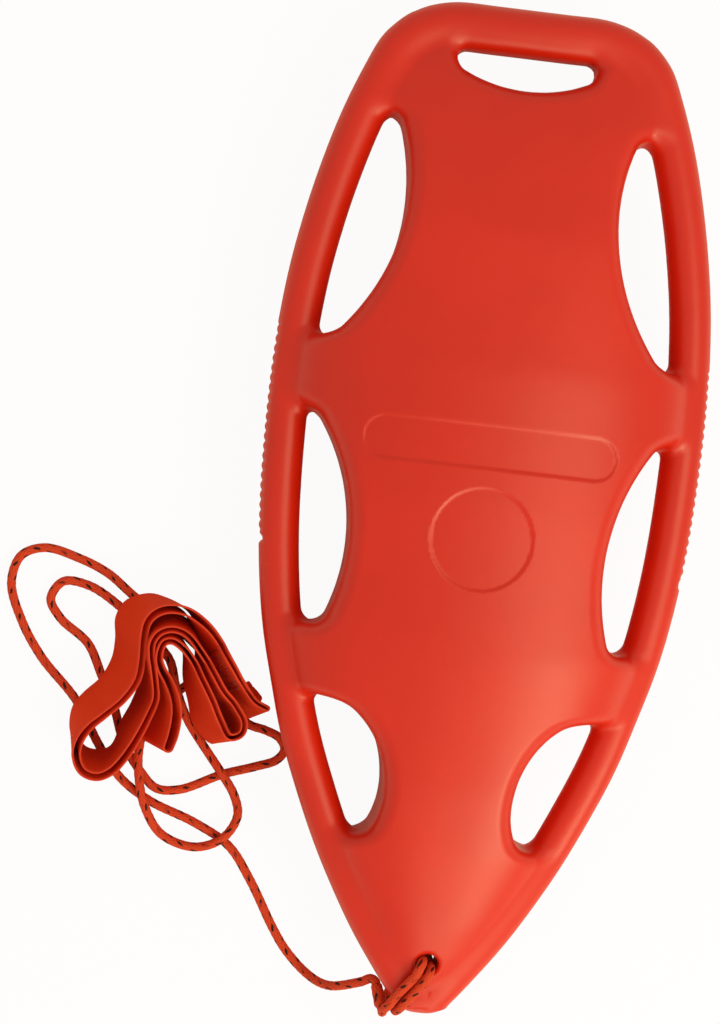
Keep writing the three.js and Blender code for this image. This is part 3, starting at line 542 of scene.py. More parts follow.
def skin_of(values, places):
    """Points and four-sided faces of the surface where values on a grid change sign."""
    inside = values < 0
    cells = tuple(size - 1 for size in values.shape)
    corners = [(i, j, k) for i in (0, 1) for j in (0, 1) for k in (0, 1)]
    count = sum(
        inside[i:cells[0] + i, j:cells[1] + j, k:cells[2] + k].astype(np.int8) for i, j, k in corners
    )
    crossed = (count > 0) & (count < 8)
    number = np.full(cells, -1)
    number[crossed] = np.arange(crossed.sum())
    where = np.argwhere(crossed)
    total, hits = np.zeros((len(where), 3)), np.zeros(len(where))
    for start in corners:
        for axis in range(3):
            if start[axis]:
                continue
            end = tuple(value + (k == axis) for k, value in enumerate(start))
            at_start, at_end = where + start, where + end
            first, second = values[tuple(at_start.T)], values[tuple(at_end.T)]
            cut = (first < 0) != (second < 0)
            share = np.where(cut, first / np.where(cut, first - second, 1), 0)
            for k in range(3):
                a, b = places[k][at_start[:, k]], places[k][at_end[:, k]]
                total[:, k] += np.where(cut, a + share * (b - a), 0)
            hits += cut
    points = total / hits[:, None]
    faces = []
    for axis in range(3):
        second, third = (axis + 1) % 3, (axis + 2) % 3
        here = np.moveaxis(inside, axis, 0)
        change = np.moveaxis(here[:-1] != here[1:], 0, axis)
        edges = np.argwhere(change)
        keep = np.ones(len(edges), bool)
        for other in (second, third):
            keep &= (edges[:, other] > 0) & (edges[:, other] < values.shape[other] - 1)
        edges = edges[keep]
        quad = []
        for back_second, back_third in ((1, 1), (0, 1), (0, 0), (1, 0)):
            cell = edges.copy()
            cell[:, second] -= back_second
            cell[:, third] -= back_third
            quad.append(number[tuple(cell.T)])
        quad = np.stack(quad, axis=1)
        outward = inside[tuple(edges.T)]
        faces.append(np.where(outward[:, None], quad, quad[:, ::-1]))
    return points, np.concatenate(faces)


def pulled_to_surface(form, points, rounds=3, probe=0.0004, longest_move=0.001, least_slope=0.25):
    """Points moved onto the surface, and the directions out of it there."""
    for _ in range(rounds):
        slopes = np.stack([
            (form(*(points + step).T) - form(*(points - step).T)) / (2 * probe)
            for step in np.eye(3) * probe
        ], axis=1)
        size = np.maximum((slopes**2).sum(axis=1), least_slope)
        move = slopes * (form(*points.T) / size)[:, None]
        points = points - np.clip(move, -longest_move, longest_move)
    return points, unit(slopes)


# Meshes


def volume(points, faces):
    """Six times the volume inside faces that close a body."""
    total = 0.0
    for corners in (faces[:, [0, 1, 2]], faces[:, [0, 2, 3]]):
        a, b, c = (points[corners[:, k]] for k in range(3))
        total += (a * np.cross(b, c)).sum()
    return total


def placed(name, data):
    """A new object in the scene."""
    made = bpy.data.objects.new(name, data)
    bpy.context.scene.collection.objects.link(made)
    return made


def dress(made, material):
    """Gives every slot of an object one material."""
    if not made.material_slots:
        made.data.materials.append(material)
    for slot in made.material_slots:
        slot.material = material
    return made


def piece(name, shape, replaces, material, body="hull", normals=None):
    """A smooth mesh that rides on a body, stands for a solid and has one material."""
    points, faces, *uvs = shape
    mesh = bpy.data.meshes.new(name)
    mesh.from_pydata(np.asarray(points).tolist(), [], [list(map(int, face)) for face in faces])
    mesh.polygons.foreach_set("use_smooth", [True] * len(mesh.polygons))
    if uvs:
        layer = mesh.uv_layers.new(name="run")
        layer.data.foreach_set("uv", np.asarray(uvs[0], np.float32).ravel())
    mesh.update()
    if normals is not None:
        mesh.normals_split_custom_set_from_vertices(normals.tolist())
    made = placed(name, mesh)
    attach(made, body)
    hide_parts(replaces)
    return dress(made, material)


def loft(rings, run, closed=False, sides_run=None):
    """Points, faces and UVs of a skin through rings. U is the run in metres, V goes round from 0."""
    rings = np.asarray(rings, float)
    rows, sides = rings.shape[:2]
    points = rings.reshape(-1, 3)
    spans = rows if closed else rows - 1
    row, side = (grid.ravel() for grid in np.meshgrid(np.arange(spans), np.arange(sides), indexing="ij"))
    next_row, next_side = (row + 1) % rows, (side + 1) % sides
    faces = np.stack([
        row * sides + side, next_row * sides + side,
        next_row * sides + next_side, row * sides + next_side,
    ], axis=1)
    around = np.linspace(0, 1, sides + 1) if sides_run is None else np.asarray(sides_run)
    u = np.stack([run[row], run[row + 1], run[row + 1], run[row]], axis=1)
    v = np.stack([around[side], around[side], around[side + 1], around[side + 1]], axis=1)
    if volume(points - points.mean(axis=0), faces) < 0:
        faces, u, v = faces[:, ::-1], u[:, ::-1], v[:, ::-1]
    uvs = np.stack([u, v], axis=2)
    faces, uvs = list(faces), list(uvs.reshape(-1, 2))
    if not closed:
        flipped = faces[0][0] != 0
        for start, turned in ((0, flipped), ((rows - 1) * sides, not flipped)):
            ring = np.arange(start, start + sides)
            faces.append(ring[::-1] if turned else ring)
            uvs.extend([(0, 0)] * sides)
    return points, faces, np.array(uvs)


def turned(profile, steps, at_y, cut=None):
    """Points, faces and UVs of a closed profile of (radius, height) turned about the vent's axis."""
    angles = circle(steps)[:, None]
    radius, height = np.array(profile, float).T
    if cut:
        radius = radius - cut(angles, radius, height)
    rings = [np.cos(angles) * radius, np.sin(angles) * radius + at_y, height + 0 * angles]
    return loft(np.stack(rings, axis=2), np.linspace(0, 1, steps + 1), closed=True)


def joined(parts):
    """Several meshes' points, faces and UVs as one."""
    points, faces, uvs, start = [], [], [], 0
    for part_points, part_faces, part_uvs in parts:
        points.append(part_points)
        faces.extend([np.asarray(face) + start for face in part_faces])
        uvs.append(part_uvs)
        start += len(part_points)
    return np.concatenate(points), faces, np.concatenate(uvs)


# Materials


def maths(operation, reflected=False):
    """An operator that adds one Math node for its two values."""
    def work(flow, other):
        return flow.maker.math(operation, *((other, flow) if reflected else (flow, other)))
    return work


class Flow:
    """A socket's value or colour in an expression. Sums on it add the nodes that work them out."""

    __add__, __mul__, __truediv__ = maths("ADD"), maths("MULTIPLY"), maths("DIVIDE")
    __sub__, __rsub__ = maths("SUBTRACT"), maths("SUBTRACT", reflected=True)
    __lt__ = maths("LESS_THAN")

    def __init__(self, maker, socket):
        self.maker, self.socket = maker, socket


class Finish:
    """Builds the nodes of one material or of the world."""

    def __init__(self, owner):
        owner.use_nodes = True
        self.owner, self.tree = owner, owner.node_tree
        self.tree.nodes.clear()

    def node(self, kind, settings=(), inputs=(), outs=(0,)):
        """Adds a node: its settings first, then values or links of its sockets. Gives its outputs."""
        made = self.tree.nodes.new(kind)
        for name, value in dict(settings).items():
            setattr(made, name, value)
        for name, value in dict(inputs).items():
            socket = made.inputs[name]
            if isinstance(value, Flow):
                self.tree.links.new(value.socket, socket)
            else:
                socket.default_value = (*value, 1) if socket.type == "RGBA" else value
        flows = [Flow(self, made.outputs[out]) for out in outs]
        return flows[0] if len(flows) == 1 else flows

    def math(self, operation, *values):
        return self.node("ShaderNodeMath", {"operation": operation}, dict(enumerate(values)))

    def mix(self, share, a, b):
        """A colour between two colours."""
        return self.node("ShaderNodeMix", {"data_type": "RGBA"}, {0: share, 6: a, 7: b}, (2,))

    def span(self, value, low, high, to_low=0.0, to_high=1.0):
        """Maps a value smoothly from one range to another."""
        settings = {"interpolation_type": "SMOOTHSTEP", "clamp": True}
        inputs = dict(enumerate((value, low, high, to_low, to_high)))
        return self.node("ShaderNodeMapRange", settings, inputs)

    def place(self):
        """Points of the surface in the part's own frame, in metres."""
        return self.node("ShaderNodeTexCoord", outs=("Object",))

    def split(self, vector):
        return self.node("ShaderNodeSeparateXYZ", {}, {0: vector}, (0, 1))

    def run(self):
        """How far along, in metres, and how far round or across a lofted piece."""
        return self.split(self.node("ShaderNodeUVMap", {"uv_map": "run"}))

    def noise(self, scale, detail=3.0, roughness=0.5):
        inputs = {"Vector": self.place(), "Scale": scale, "Detail": detail, "Roughness": roughness}
        return self.node("ShaderNodeTexNoise", {}, inputs)

    def bump(self, height, distance, strength, under=None):
        """A relief in metres, on top of another one if there is one under it."""
        inputs = {"Height": height, "Distance": distance, "Strength": strength}
        if under:
            inputs["Normal"] = under
        return self.node("ShaderNodeBump", {}, inputs)

    def between(self, share, a, b):
        """A shader between two shaders."""
        return self.node("ShaderNodeMixShader", {}, {0: share, 1: a, 2: b})

    def end(self, shader, kind="ShaderNodeOutputMaterial"):
        self.node(kind, {}, {"Surface": shader}, ())
        return self.owner

    def shade(self, colour, rough, normal, gloss=0.5, **constants):
        """Ends the material with one shader: what varies is linked, what doesn't is set."""
        inputs = {"Base Color": colour, "Roughness": rough, "Normal": normal, "Specular IOR Level": gloss}
        return self.end(self.node("ShaderNodeBsdfPrincipled", {}, {**inputs, **constants}))


def finish_for(name):
    return Finish(bpy.data.materials.new(name))


def scaled(rgb, factor):
    return tuple(value * factor for value in rgb)


def moulded_plastic(name, rgb):
    """Satin polyethylene: faint clouds in its colour, a fine orange peel and a few scuffs."""
    finish = finish_for(name)
    clouds = finish.noise(9.0, detail=4.0)
    peel = finish.noise(1300.0, detail=2.0)
    swell = finish.noise(60.0, detail=2.0)
    scuffs = finish.span(finish.noise(420.0, detail=6.0, roughness=0.75), 0.62, 0.70)
    tint = finish.mix(finish.span(clouds, 0.3, 0.7), scaled(rgb, 0.95), scaled(rgb, 1.05))
    worn = finish.mix(scuffs * 0.10, tint, tuple(0.7 * value + 0.12 for value in rgb))
    rough = finish.span(clouds + scuffs * 0.15, 0.25, 0.8, 0.34, 0.42)
    fine = finish.bump(peel + scuffs * 0.4, 0.00012, 0.55)
    return finish.shade(worn, rough, finish.bump(swell, 0.0006, 0.25, under=fine), gloss=0.63)


def tracer_yarns(finish, run, around, diameter):
    """Where dark yarns show on a cover: slanted dashes in staggered rings, some faded."""
    pitch, columns, slant = 0.0105, 3, 0.35
    half_long, half_wide = 0.0029, 0.0011
    along = run / pitch
    place = (finish.math("FRACT", along) - 0.5) * pitch
    turn = around * columns + finish.math("FLOORED_MODULO", finish.math("FLOOR", along), 2.0) * 0.5
    aside = (finish.math("FRACT", turn) - 0.5) * (math.pi * diameter / columns) - place * slant
    far_long, far_wide = place / half_long, aside / half_wide
    size = finish.math("SQRT", far_long * far_long + far_wide * far_wide)
    ragged = size + (finish.noise(900.0, detail=1.0) - 0.5) * 0.9
    faded = finish.span(finish.noise(110.0, detail=1.0), 0.33, 0.47, 0.30, 1.0)
    return finish.span(ragged, 0.80, 1.15, 1.0, 0.0) * faded


def braided_cover(name, sizes, rgb, tracer):
    """Plaited cover: strands each way with painted shade in the gaps between them, and dark tracer yarns.
    """
    finish = finish_for(name)
    run, around = finish.run()
    turns = run * (STRANDS / sizes.braid_lead)
    right, left = around * STRANDS + turns, around * STRANDS - turns
    cells = finish.math("FLOOR", right) + finish.math("FLOOR", left)
    right_on_top = finish.math("FLOORED_MODULO", cells, 2.0) < 0.5
    across = finish.math("FRACT", right) * right_on_top + finish.math("FRACT", left) * (1 - right_on_top)
    bulge = 1 - finish.math("ABSOLUTE", across * 2 - 1)
    fibres = finish.noise(2600.0, detail=2.0)
    # Painted shade: the colour darkens towards the gaps between the strands, where they dip under.
    shade = finish.mix(finish.span(bulge, 0.0, 0.35), scaled(rgb, 0.45), rgb)
    shade = finish.mix(finish.span(fibres, 0.35, 0.75) * 0.30, shade, scaled(rgb, 1.25))
    shade = finish.mix(tracer_yarns(finish, run, around, sizes.diameter), shade, tracer)
    threads = finish.math("SINE", across * 25.0)
    relief = finish.bump(threads * 0.5 + fibres, 0.00012, 0.6)
    return finish.shade(shade, finish.span(fibres, 0.3, 0.7, 0.62, 0.80), relief, gloss=0.25)


def woven_webbing(name, width, rgb):
    """Herringbone webbing with firm selvedges, painted shade in the weave's hollows and a painted
    highlight along its edges. U runs along it and V across it, both in metres.
    """
    finish = finish_for(name)
    run, across = finish.run()
    yarn, herringbone, slant = 0.0011, 0.0065, 1.6
    zig = finish.math("PINGPONG", across, herringbone)
    twill = finish.math("SINE", (run + zig * slant) * (math.pi / yarn))
    ends = finish.math("SINE", across * (2 * math.pi / yarn))
    weave = twill * 0.6 + ends * 0.4
    fuzz = finish.noise(1800.0, detail=3.0)
    clouds = finish.noise(38.0, detail=3.0)
    from_edge = finish.math("MINIMUM", across, width - across)
    selvedge = finish.span(from_edge, 0.0012, 0.0030, 1.0, 0.0)
    # Painted shade and light: darker where the weave sinks and lighter where its yarns stand up.
    shade = finish.mix(finish.span(weave, -0.7, 0.7), scaled(rgb, 0.72), scaled(rgb, 1.08))
    shade = finish.mix(finish.span(clouds, 0.35, 0.7) * 0.25, shade, scaled(rgb, 0.80))
    # Painted highlight: both selvedges are made paler, as the strap's upper edges catch the light; their
    # firmer weave is in the geometry.
    shade = finish.mix(selvedge * 0.7, shade, tuple(0.85 * value + 0.035 for value in rgb))
    shade = finish.mix(finish.span(fuzz, 0.55, 0.8) * 0.2, shade, scaled(rgb, 1.3))
    relief = finish.bump(weave * 0.35 + fuzz * 0.5, 0.00025, 0.7)
    return finish.shade(shade, finish.span(fuzz, 0.3, 0.7, 0.70, 0.86), relief, gloss=0.12)


def sewn_thread(name, rgb):
    """Twisted thread, with painted shade between its turns."""
    finish = finish_for(name)
    twist = finish.noise(3200.0, detail=2.0)
    # Painted shade: darker in the grooves between the turns, lighter on their crests.
    shade = finish.mix(finish.span(twist, 0.35, 0.65), scaled(rgb, 0.6), scaled(rgb, 1.3))
    rough = finish.span(twist, 0.3, 0.7, 0.55, 0.75)
    return finish.shade(shade, rough, finish.bump(twist, 0.0002, 0.6), gloss=0.4, **{"Sheen Weight": 0.2})


def turned_metal(name, rgb, centre_y):
    """Brass with the fine rings that a lathe leaves, and a little tarnish."""
    finish = finish_for(name)
    x, y = finish.split(finish.place())
    y = y - centre_y
    rings = finish.math("SINE", finish.math("SQRT", x * x + y * y) * 16000.0)
    tarnish = finish.noise(260.0, detail=4.0)
    shade = finish.mix(finish.span(tarnish, 0.4, 0.7), rgb, scaled(rgb, 0.6))
    rough = finish.span(tarnish, 0.3, 0.8, 0.25, 0.5)
    return finish.shade(shade, rough, finish.bump(rings, 0.00003, 0.5), Metallic=1.0)


def dull_moulding(name, rgb, grain, rough):
    """Nylon or rubber: a fine grain, faint bloom and uneven gloss."""
    finish = finish_for(name)
    fine = finish.noise(grain, detail=3.0)
    bloom = finish.noise(140.0, detail=4.0)
    bloomed = tuple(value * 1.6 + 0.01 for value in rgb)
    shade = finish.mix(finish.span(bloom, 0.45, 0.8) * 0.5, rgb, bloomed)
    uneven = finish.span(bloom, 0.3, 0.7, rough, rough + 0.15)
    return finish.shade(shade, uneven, finish.bump(fine, 0.0001, 0.5), gloss=0.45)


def cellular_foam(name, rgb):
    """Foam with small closed cells."""
    finish = finish_for(name)
    cells = finish.node("ShaderNodeTexVoronoi", {}, {"Vector": finish.place(), "Scale": 900.0})
    shade = finish.mix(finish.span(cells, 0.2, 0.7), rgb, scaled(rgb, 0.78))
    return finish.shade(shade, finish.span(cells, 0.0, 0.8, 0.95, 0.8), finish.bump(cells, 0.0006, 0.7))


# The towing line


def braid_radius(sizes, run, around):
    """Radius of the plaited cover at places along and round it: strands pass over and under."""
    turns = run * STRANDS / sizes.braid_lead
    right, left = around * STRANDS + turns, around * STRANDS - turns
    right_on_top = (np.floor(right) + np.floor(left)) % 2 == 0
    across = np.where(right_on_top, right % 1, left % 1)
    over = np.sin(np.pi * np.where(right_on_top, left % 1, right % 1))
    bulge = np.sqrt(np.clip(1 - (2 * across - 1) ** 2, 0, 1))
    bulge = bulge * (1 - UNDER_DIP_SHARE + UNDER_DIP_SHARE * over)
    return sizes.diameter / 2 - sizes.braid_relief * (1 - bulge)


def laid_path(route):
    """A route's smooth curve as points one small step apart, and its length."""
    _, long = even_places(route, 2)
    places, _ = even_places(route, int(long / LINE_STEP))
    return spline(route, places), long


def braided_piece(name, path, replaces, sizes, cover):
    """A plaited line along a path."""
    along = np.concatenate([[0], np.cumsum(np.linalg.norm(np.diff(path, axis=0), axis=1))])
    around = np.linspace(0, 1, BRAID_SIDES, endpoint=False)
    radius = braid_radius(sizes, along[:, None], around[None, :])
    rings = rings_about(path, *carried_frames(path), radius, radius)
    return piece(name, loft(rings, along), replaces, cover)


def make_line(sizes, finishes):
    """The eye and the free line, with the sleeve and the tunnel that hold their ends."""
    cover = braided_cover("line cover", sizes, finishes.line, finishes.tracer)
    eye_path, eye_length = laid_path(EYE_ROUTE)
    eye = braided_piece("line_eye", eye_path, "tow_eye", sizes, cover)
    sleeve = make_sleeve(sizes, cover)
    tunnel = make_tunnel(sizes, finishes)
    path, long = laid_path(LINE_ROUTE)
    line = braided_piece("braided_line", path, "tow_line", sizes, cover)


def make_sleeve(sizes, cover):
    """The cover drawn over the eye splice: oval where the eye's two legs go in, tapering to the line."""
    way = unit(np.array(SLEEVE_WAY))
    steps, sides = 60, 44
    share = np.linspace(0, 1, steps)
    path = SLEEVE_START + way * SLEEVE_LENGTH * np.linspace(*SLEEVE_ENDS_SHARES, steps)[:, None]
    lip = 1 - sum(
        depth * np.clip(1 - from_end / SLEEVE_LIP_SHARE, 0, 1) ** 2
        for depth, from_end in zip(SLEEVE_LIP_DEPTHS, (share, 1 - share))
    )
    across = unit(np.array([-way[1], way[0], 0]))
    radius = sizes.diameter / 2
    thin = radius + SLEEVE_COVER
    taper = table(SLEEVE_TAPER_SHARES, share, 1)
    wide, tall = ((thin + (full - thin) * taper) * lip for full in (SLEEVE_WIDE, SLEEVE_TALL))
    run = share * SLEEVE_LENGTH
    relief = braid_radius(sizes, run[:, None], circle(sides)[None, :] / (2 * math.pi)) - radius
    over = np.cross(way, across)
    rings = rings_about(path, across, over, wide[:, None] + relief, tall[:, None] + relief)
    return piece("eye_sleeve", loft(rings, run), "nose_splice", cover)


def make_tunnel(sizes, finishes):
    """The short sewn tube of webbing that holds the line's end at the strap's foot."""
    start, end = np.array(LINE_ROUTE[-2]), np.array(LINE_ROUTE[-1])
    along = unit(end - start)
    across = unit(np.cross(along, (0, 0, 1)))
    over = np.cross(across, along)
    foot, sides, webbing_run, webbing_across = end + along * TUNNEL_PAST_END, 48, 0.04, 0.03
    rings = np.array([[
        foot + along * height + (across * math.cos(angle) + over * math.sin(angle)) * radius
        for radius, height in TUNNEL_SECTION
    ] for angle in circle(sides)])
    points, faces, uvs = loft(rings, np.linspace(0, webbing_run, sides + 1), closed=True)
    shape = (points, faces, uvs * (1, webbing_across))
    webbing = woven_webbing("tunnel webbing", sizes.webbing_width, finishes.webbing)
    return piece("line_tunnel_webbing", shape, "line_tunnel", webbing)


# The shoulder strap


def strap_places(sizes, count, side):
    """Upper edge, lower edge, way across and way along one layer of the strap, its spread and length."""
    shares = np.array(STRAP_SHARES)
    top_points = shares[:, :2] * sizes.bundle_span + BUNDLE_MIDDLE
    places, long = even_places(top_points, count)
    top = spline(top_points, places)
    lean = spline(shares[:, 2:] * sizes.bundle_span, places, even=False)
    way = tangents(top)
    across = np.stack([way[:, 1], -way[:, 0]], axis=1)
    spread = table(SPREAD_SHARES, places, 1) * sizes.fold_spacing / 2
    starts, full, fades, ends = CLOSING_SHARES
    closing = FOOT_CLOSING_SHARE * smooth(starts, full, places) * (1 - smooth(fades, ends, places))
    foot = top + lean + across * (spread * (1 - closing))[:, None] * side
    top = top + across * spread[:, None] * side
    line, _ = laid_path(LINE_ROUTE[:-2])
    under = line[::LIFT_STRIDE]
    away = np.linalg.norm(foot[:, None, :] - under[None, :, :2], axis=2)
    over_line = under[:, 2] + sizes.diameter / 2 + FLOOR_CLEARANCE
    beside = LIFT_REACH - sizes.diameter / 2 - sizes.webbing_thickness
    lift = (over_line * smooth(0, beside, LIFT_REACH - away)).max(axis=1)
    foot_z = np.maximum(lift, FLOOR_CLEARANCE)
    top_z = foot_z + np.sqrt(sizes.webbing_width**2 - ((foot - top) ** 2).sum(axis=1))
    flat = np.zeros(len(top))
    pairs = ((top, top_z), (foot, foot_z), (across, flat), (way, flat))
    return (*(np.column_stack(pair) for pair in pairs), spread, long)


def webbing_section(top, foot, outward, middle, thickness):
    """A ring of points round the webbing at each place: flat faces with rounded, firmer edges."""
    face = [*EDGE_SHARES, (0.5, EDGE_SHARES[-1][1])]
    face += [(1 - place, thick) for place, thick in reversed(EDGE_SHARES)]
    back = [(place, -thick) for place, thick in reversed(face)]
    section = [(0, 0), *face, (1, 0), *back]
    rings = [
        top + (foot - top) * place + outward * (middle + thick * thickness / 2)
        for place, thick in section
    ]
    return np.stack(rings, axis=1), np.array([place for place, _ in (*section, section[0])])


def make_strap(sizes, finishes):
    """The closed loop of webbing: out along one layer, round the end, and back along the other."""
    count, turns = 360, 9
    rows = []
    for side, end in ((1, -1), (-1, 0)):
        top, foot, across, *_ = strap_places(sizes, count, side)
        rows.append((top[::side], foot[::side], (across * side)[::side], np.zeros(count)))
        top, foot, across, way, spread, _ = strap_places(sizes, count, 0)
        for angle in np.arange(1, turns) / turns * math.pi:
            out = (across[end] * math.cos(angle) + way[end] * math.sin(angle)) * side
            rows.append((top[end][None], foot[end][None], out[None], spread[end][None]))
    top, foot, outward, middle = (np.concatenate([row[k] for row in rows]) for k in range(4))
    centre = top + outward * middle[:, None]
    gaps = np.linalg.norm(np.diff(np.vstack([centre, centre[:1]]), axis=0), axis=1)
    run = np.concatenate([[0], np.cumsum(gaps)])
    rings, across = webbing_section(top, foot, outward, middle[:, None], sizes.webbing_thickness)
    shape = loft(rings, run, closed=True, sides_run=across * sizes.webbing_width)
    webbing = woven_webbing("strap webbing", sizes.webbing_width, finishes.webbing)
    strap = piece("strap_webbing", shape, "shoulder_strap", webbing)
    stitches = make_stitches(sizes, finishes)


def stitch(start, end, radius):
    """One short stitch as a rounded rod."""
    way = unit(end - start)
    side = unit(np.cross(way, (0.3, 0.2, 1)))
    places, sizes = np.array(STITCH_SHARES).T
    wide = radius * sizes[:, None] * np.ones(6)
    rings = rings_about(start + np.outer(places, end - start), side, np.cross(way, side), wide, wide)
    return loft(rings, places * np.linalg.norm(end - start))


def crossed_box(low, high, tall, inner):
    """Two paths of stitches in (run, down): a box with a cross in it, and a smaller box."""
    def box(edge):
        run_low, run_high, down_low, down_high = low + edge, high - edge, edge, tall - edge
        return [
            (run_low, down_low), (run_high, down_low), (run_high, down_high), (run_low, down_high),
            (run_low, down_low),
        ]
    return [*box(0), (high, tall), (high, 0), (low, tall)], box(inner)


def make_stitches(sizes, finishes):
    """A box of stitches with a cross in it, on the strap's outer faces where its ends lap."""
    start, long, tall, inner = 0.024, 0.034, 0.038, 0.004
    pitch, radius, gap_share, proud_share, count = 0.0030, 0.00042, 0.12, 0.4, 1400
    top, foot, across, _, spread, total = strap_places(sizes, count, 0)
    lift = spread + sizes.webbing_thickness / 2 + radius * proud_share

    def on_face(run, down, side):
        k = int(np.clip(run / total * (count - 1), 0, count - 1))
        share = ((sizes.webbing_width - tall) / 2 + down) / sizes.webbing_width
        return top[k] + (foot[k] - top[k]) * share + across[k] * lift[k] * side

    parts = []
    for side in (1, -1):
        for path in crossed_box(start, start + long, tall, inner):
            for a, b in zip(np.array(path), np.array(path[1:])):
                steps = max(1, round(math.hypot(*(b - a)) / pitch))
                for step in range(steps):
                    ends = (a + (b - a) * (step + at) / steps for at in (gap_share, 1 - gap_share))
                    parts.append(stitch(*(on_face(*end, side) for end in ends), radius))
    thread = sewn_thread("strap thread", finishes.thread)
    return piece("strap_stitches", joined(parts), "box_stitch", thread)


# The hull and its vent


def make_hull(sizes, finishes):
    """The moulded hull, with finer points over its ribs and blank recesses."""
    form = HullForm(sizes)
    step, fine, margin = sizes.step, sizes.fine_step, 2 * sizes.step
    wide, long = sizes.beam / 2 + margin, sizes.hull_length / 2 + margin
    panel = form.panel[0] / 2 + margin
    ribs_low, ribs_high = form.rib_zone
    before_ribs, past_ribs, fine_across, level_share, batches = 0.022, 0.004, 1.3, 0.37, 12
    height = np.arange(-margin, sizes.mid_plane + sizes.deck_height + margin, step)
    places = (
        graded(-wide, wide, -panel, panel, fine * fine_across, step),
        graded(-long, long, ribs_low - before_ribs, ribs_high + past_ribs, fine, step),
        height + step * level_share,
    )
    x, y, z = np.meshgrid(*places, indexing="ij")
    values = np.concatenate([
        form(*(axis[rows].ravel() for axis in (x, y, z))).reshape(x[rows].shape)
        for rows in np.array_split(np.arange(len(places[0])), batches)
    ])
    points, faces = skin_of(values, places)
    points, normals = pulled_to_surface(form, points)
    plastic = moulded_plastic("hull polyethylene", finishes.hull)
    piece("moulded_hull", (points, faces), "hull_shell", plastic, normals=normals)
    dress(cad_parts["foam_core"], cellular_foam("core foam", finishes.foam))


def make_vent(sizes, finishes):
    """The rubber ring and the screw plug in the solid bush."""
    dress(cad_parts["vent_insert"], turned_metal("bush brass", finishes.brass, sizes.vent_y))
    inner, outer, squareness = 0.0082, (SEAL_HIGH[0] - SEAL_LOW[0]) / 2, 0.7
    low, high = SEAL_LOW[2], SEAL_HIGH[2]
    section_points, steps = 20, 96
    cos, sin = np.cos(circle(section_points)), np.sin(circle(section_points))
    radius = (inner + outer) / 2 + (outer - inner) / 2 * np.copysign(np.abs(cos) ** squareness, cos)
    profile = np.column_stack([radius, (low + high) / 2 + (high - low) / 2 * sin])
    rubber = dull_moulding("seal rubber", finishes.seal, 1500.0, 0.6)
    piece("plug_seal", turned(profile, steps, sizes.vent_y), "vent_seal", rubber, body="seal")
    make_plug(sizes, finishes)


def make_plug(sizes, finishes):
    """Screw plug: a rounded head with a coin slot and a knurled rim, and a threaded shank."""
    head, shank, head_tall = (PLUG_HIGH[0] - PLUG_LOW[0]) / 2, 0.0077, 0.003
    low, tip = PLUG_LOW[2], PLUG_HIGH[2]
    top = low + head_tall
    pitch, thread, knurl, knurls = 0.002, 0.0009, 0.00035, 24
    slot_long, slot_wide, slot_deep, steps = 0.022, 0.0024, 0.0016, 144
    profile = (
        [(0.0003, low), (head * 0.5, low), (head - 0.0009, low), (head - 0.0003, low + 0.00025)]
        + [(head, low + 0.0009), (head, top - 0.0006), (head - 0.0004, top - 0.0001), (shank, top)]
        + [(shank, height) for height in np.arange(top + 0.0008, tip - 0.0012, pitch / 8)]
        + [(shank, tip - 0.0010), (shank - 0.0010, tip), (0.0003, tip)]
    )

    def cut(angles, radius, height):
        on_shank = (np.abs(radius - shank) < TINY) & (height > top + 0.0005) & (height < tip - 0.0011)
        on_rim = np.abs(radius - head) < TINY
        wave = 0.5 - 0.5 * np.cos(2 * math.pi * height / pitch - angles)
        return on_shank * thread * wave + on_rim * knurl * (0.5 - 0.5 * np.cos(angles * knurls))

    nylon = dull_moulding("plug nylon", finishes.plug, 1100.0, 0.42)
    shape = turned(profile, steps, sizes.vent_y, cut)
    plug = piece("screw_plug", shape, "vent_plug", nylon, body="plug")
    corners = [
        (x * slot_long / 2, sizes.vent_y + y * slot_wide / 2, low + z * slot_deep)
        for x in (-1, 1) for y in (-1, 1) for z in (-1, 1)
    ]
    sides = [(0, 1, 3, 2), (4, 6, 7, 5), (0, 4, 5, 1), (2, 3, 7, 6), (0, 2, 6, 4), (1, 5, 7, 3)]
    cutter = bpy.data.meshes.new("slot")
    cutter.from_pydata(corners, [], sides)
    tool = placed("slot_tool", cutter)
    modifier = plug.modifiers.new("coin slot", "BOOLEAN")
    modifier.operation, modifier.solver, modifier.object = "DIFFERENCE", "EXACT", tool
    graph = bpy.context.evaluated_depsgraph_get()
    cut_mesh = bpy.data.meshes.new_from_object(plug.evaluated_get(graph))
    plug.modifiers.clear()
    plug.data = cut_mesh
    bpy.data.objects.remove(tool)
    plug.data.set_sharp_from_angle(angle=math.radians(40))


# The stage

# Lamps: name, place and power in watts, all of one colour and size and aimed at one point
WARM, AIM, LAMP_SIZE = (1, 0.97, 0.60), (0, 0, 0.05), 1.0
LAMPS = (
    ("key", (1.2, -1.05, 1.4), 13.5), ("front", (0.3, -1.4, 1.2), 4.6), ("side", (0.75, 0.0, 1.5), 4.4),
)
# The photograph's view: its turn and tip in degrees, and its height and focal length in pixels
CAMERA_PLACE, CAMERA_TURN, CAMERA_TIP = (-0.1359, -0.01592, 1.4944), 6.5, 2.08
PHOTO_TALL_PX, FOCAL_PX = 1024, 1945
FLOOR_REACH, FLOOR_LEVEL = 6.0, -0.0004


def floor_finish():
    """White floor that keeps the shadows but shows no grey of its own."""
    finish = finish_for("stage floor")
    glow_share = 0.94
    seen, through = finish.node("ShaderNodeLightPath", outs=("Is Camera Ray", "Is Transmission Ray"))
    looks = finish.math("MINIMUM", seen + through, 1.0)
    shade = finish.mix(finish.span(finish.noise(3.0), 0.3, 0.7), (0.90,) * 3, (0.92,) * 3)
    diffuse = finish.node("ShaderNodeBsdfDiffuse", {}, {"Color": shade})
    glow = finish.node("ShaderNodeEmission", {}, {"Color": (1, 1, 1), "Strength": 1.0})
    return finish.end(finish.between(looks * glow_share, diffuse, glow))


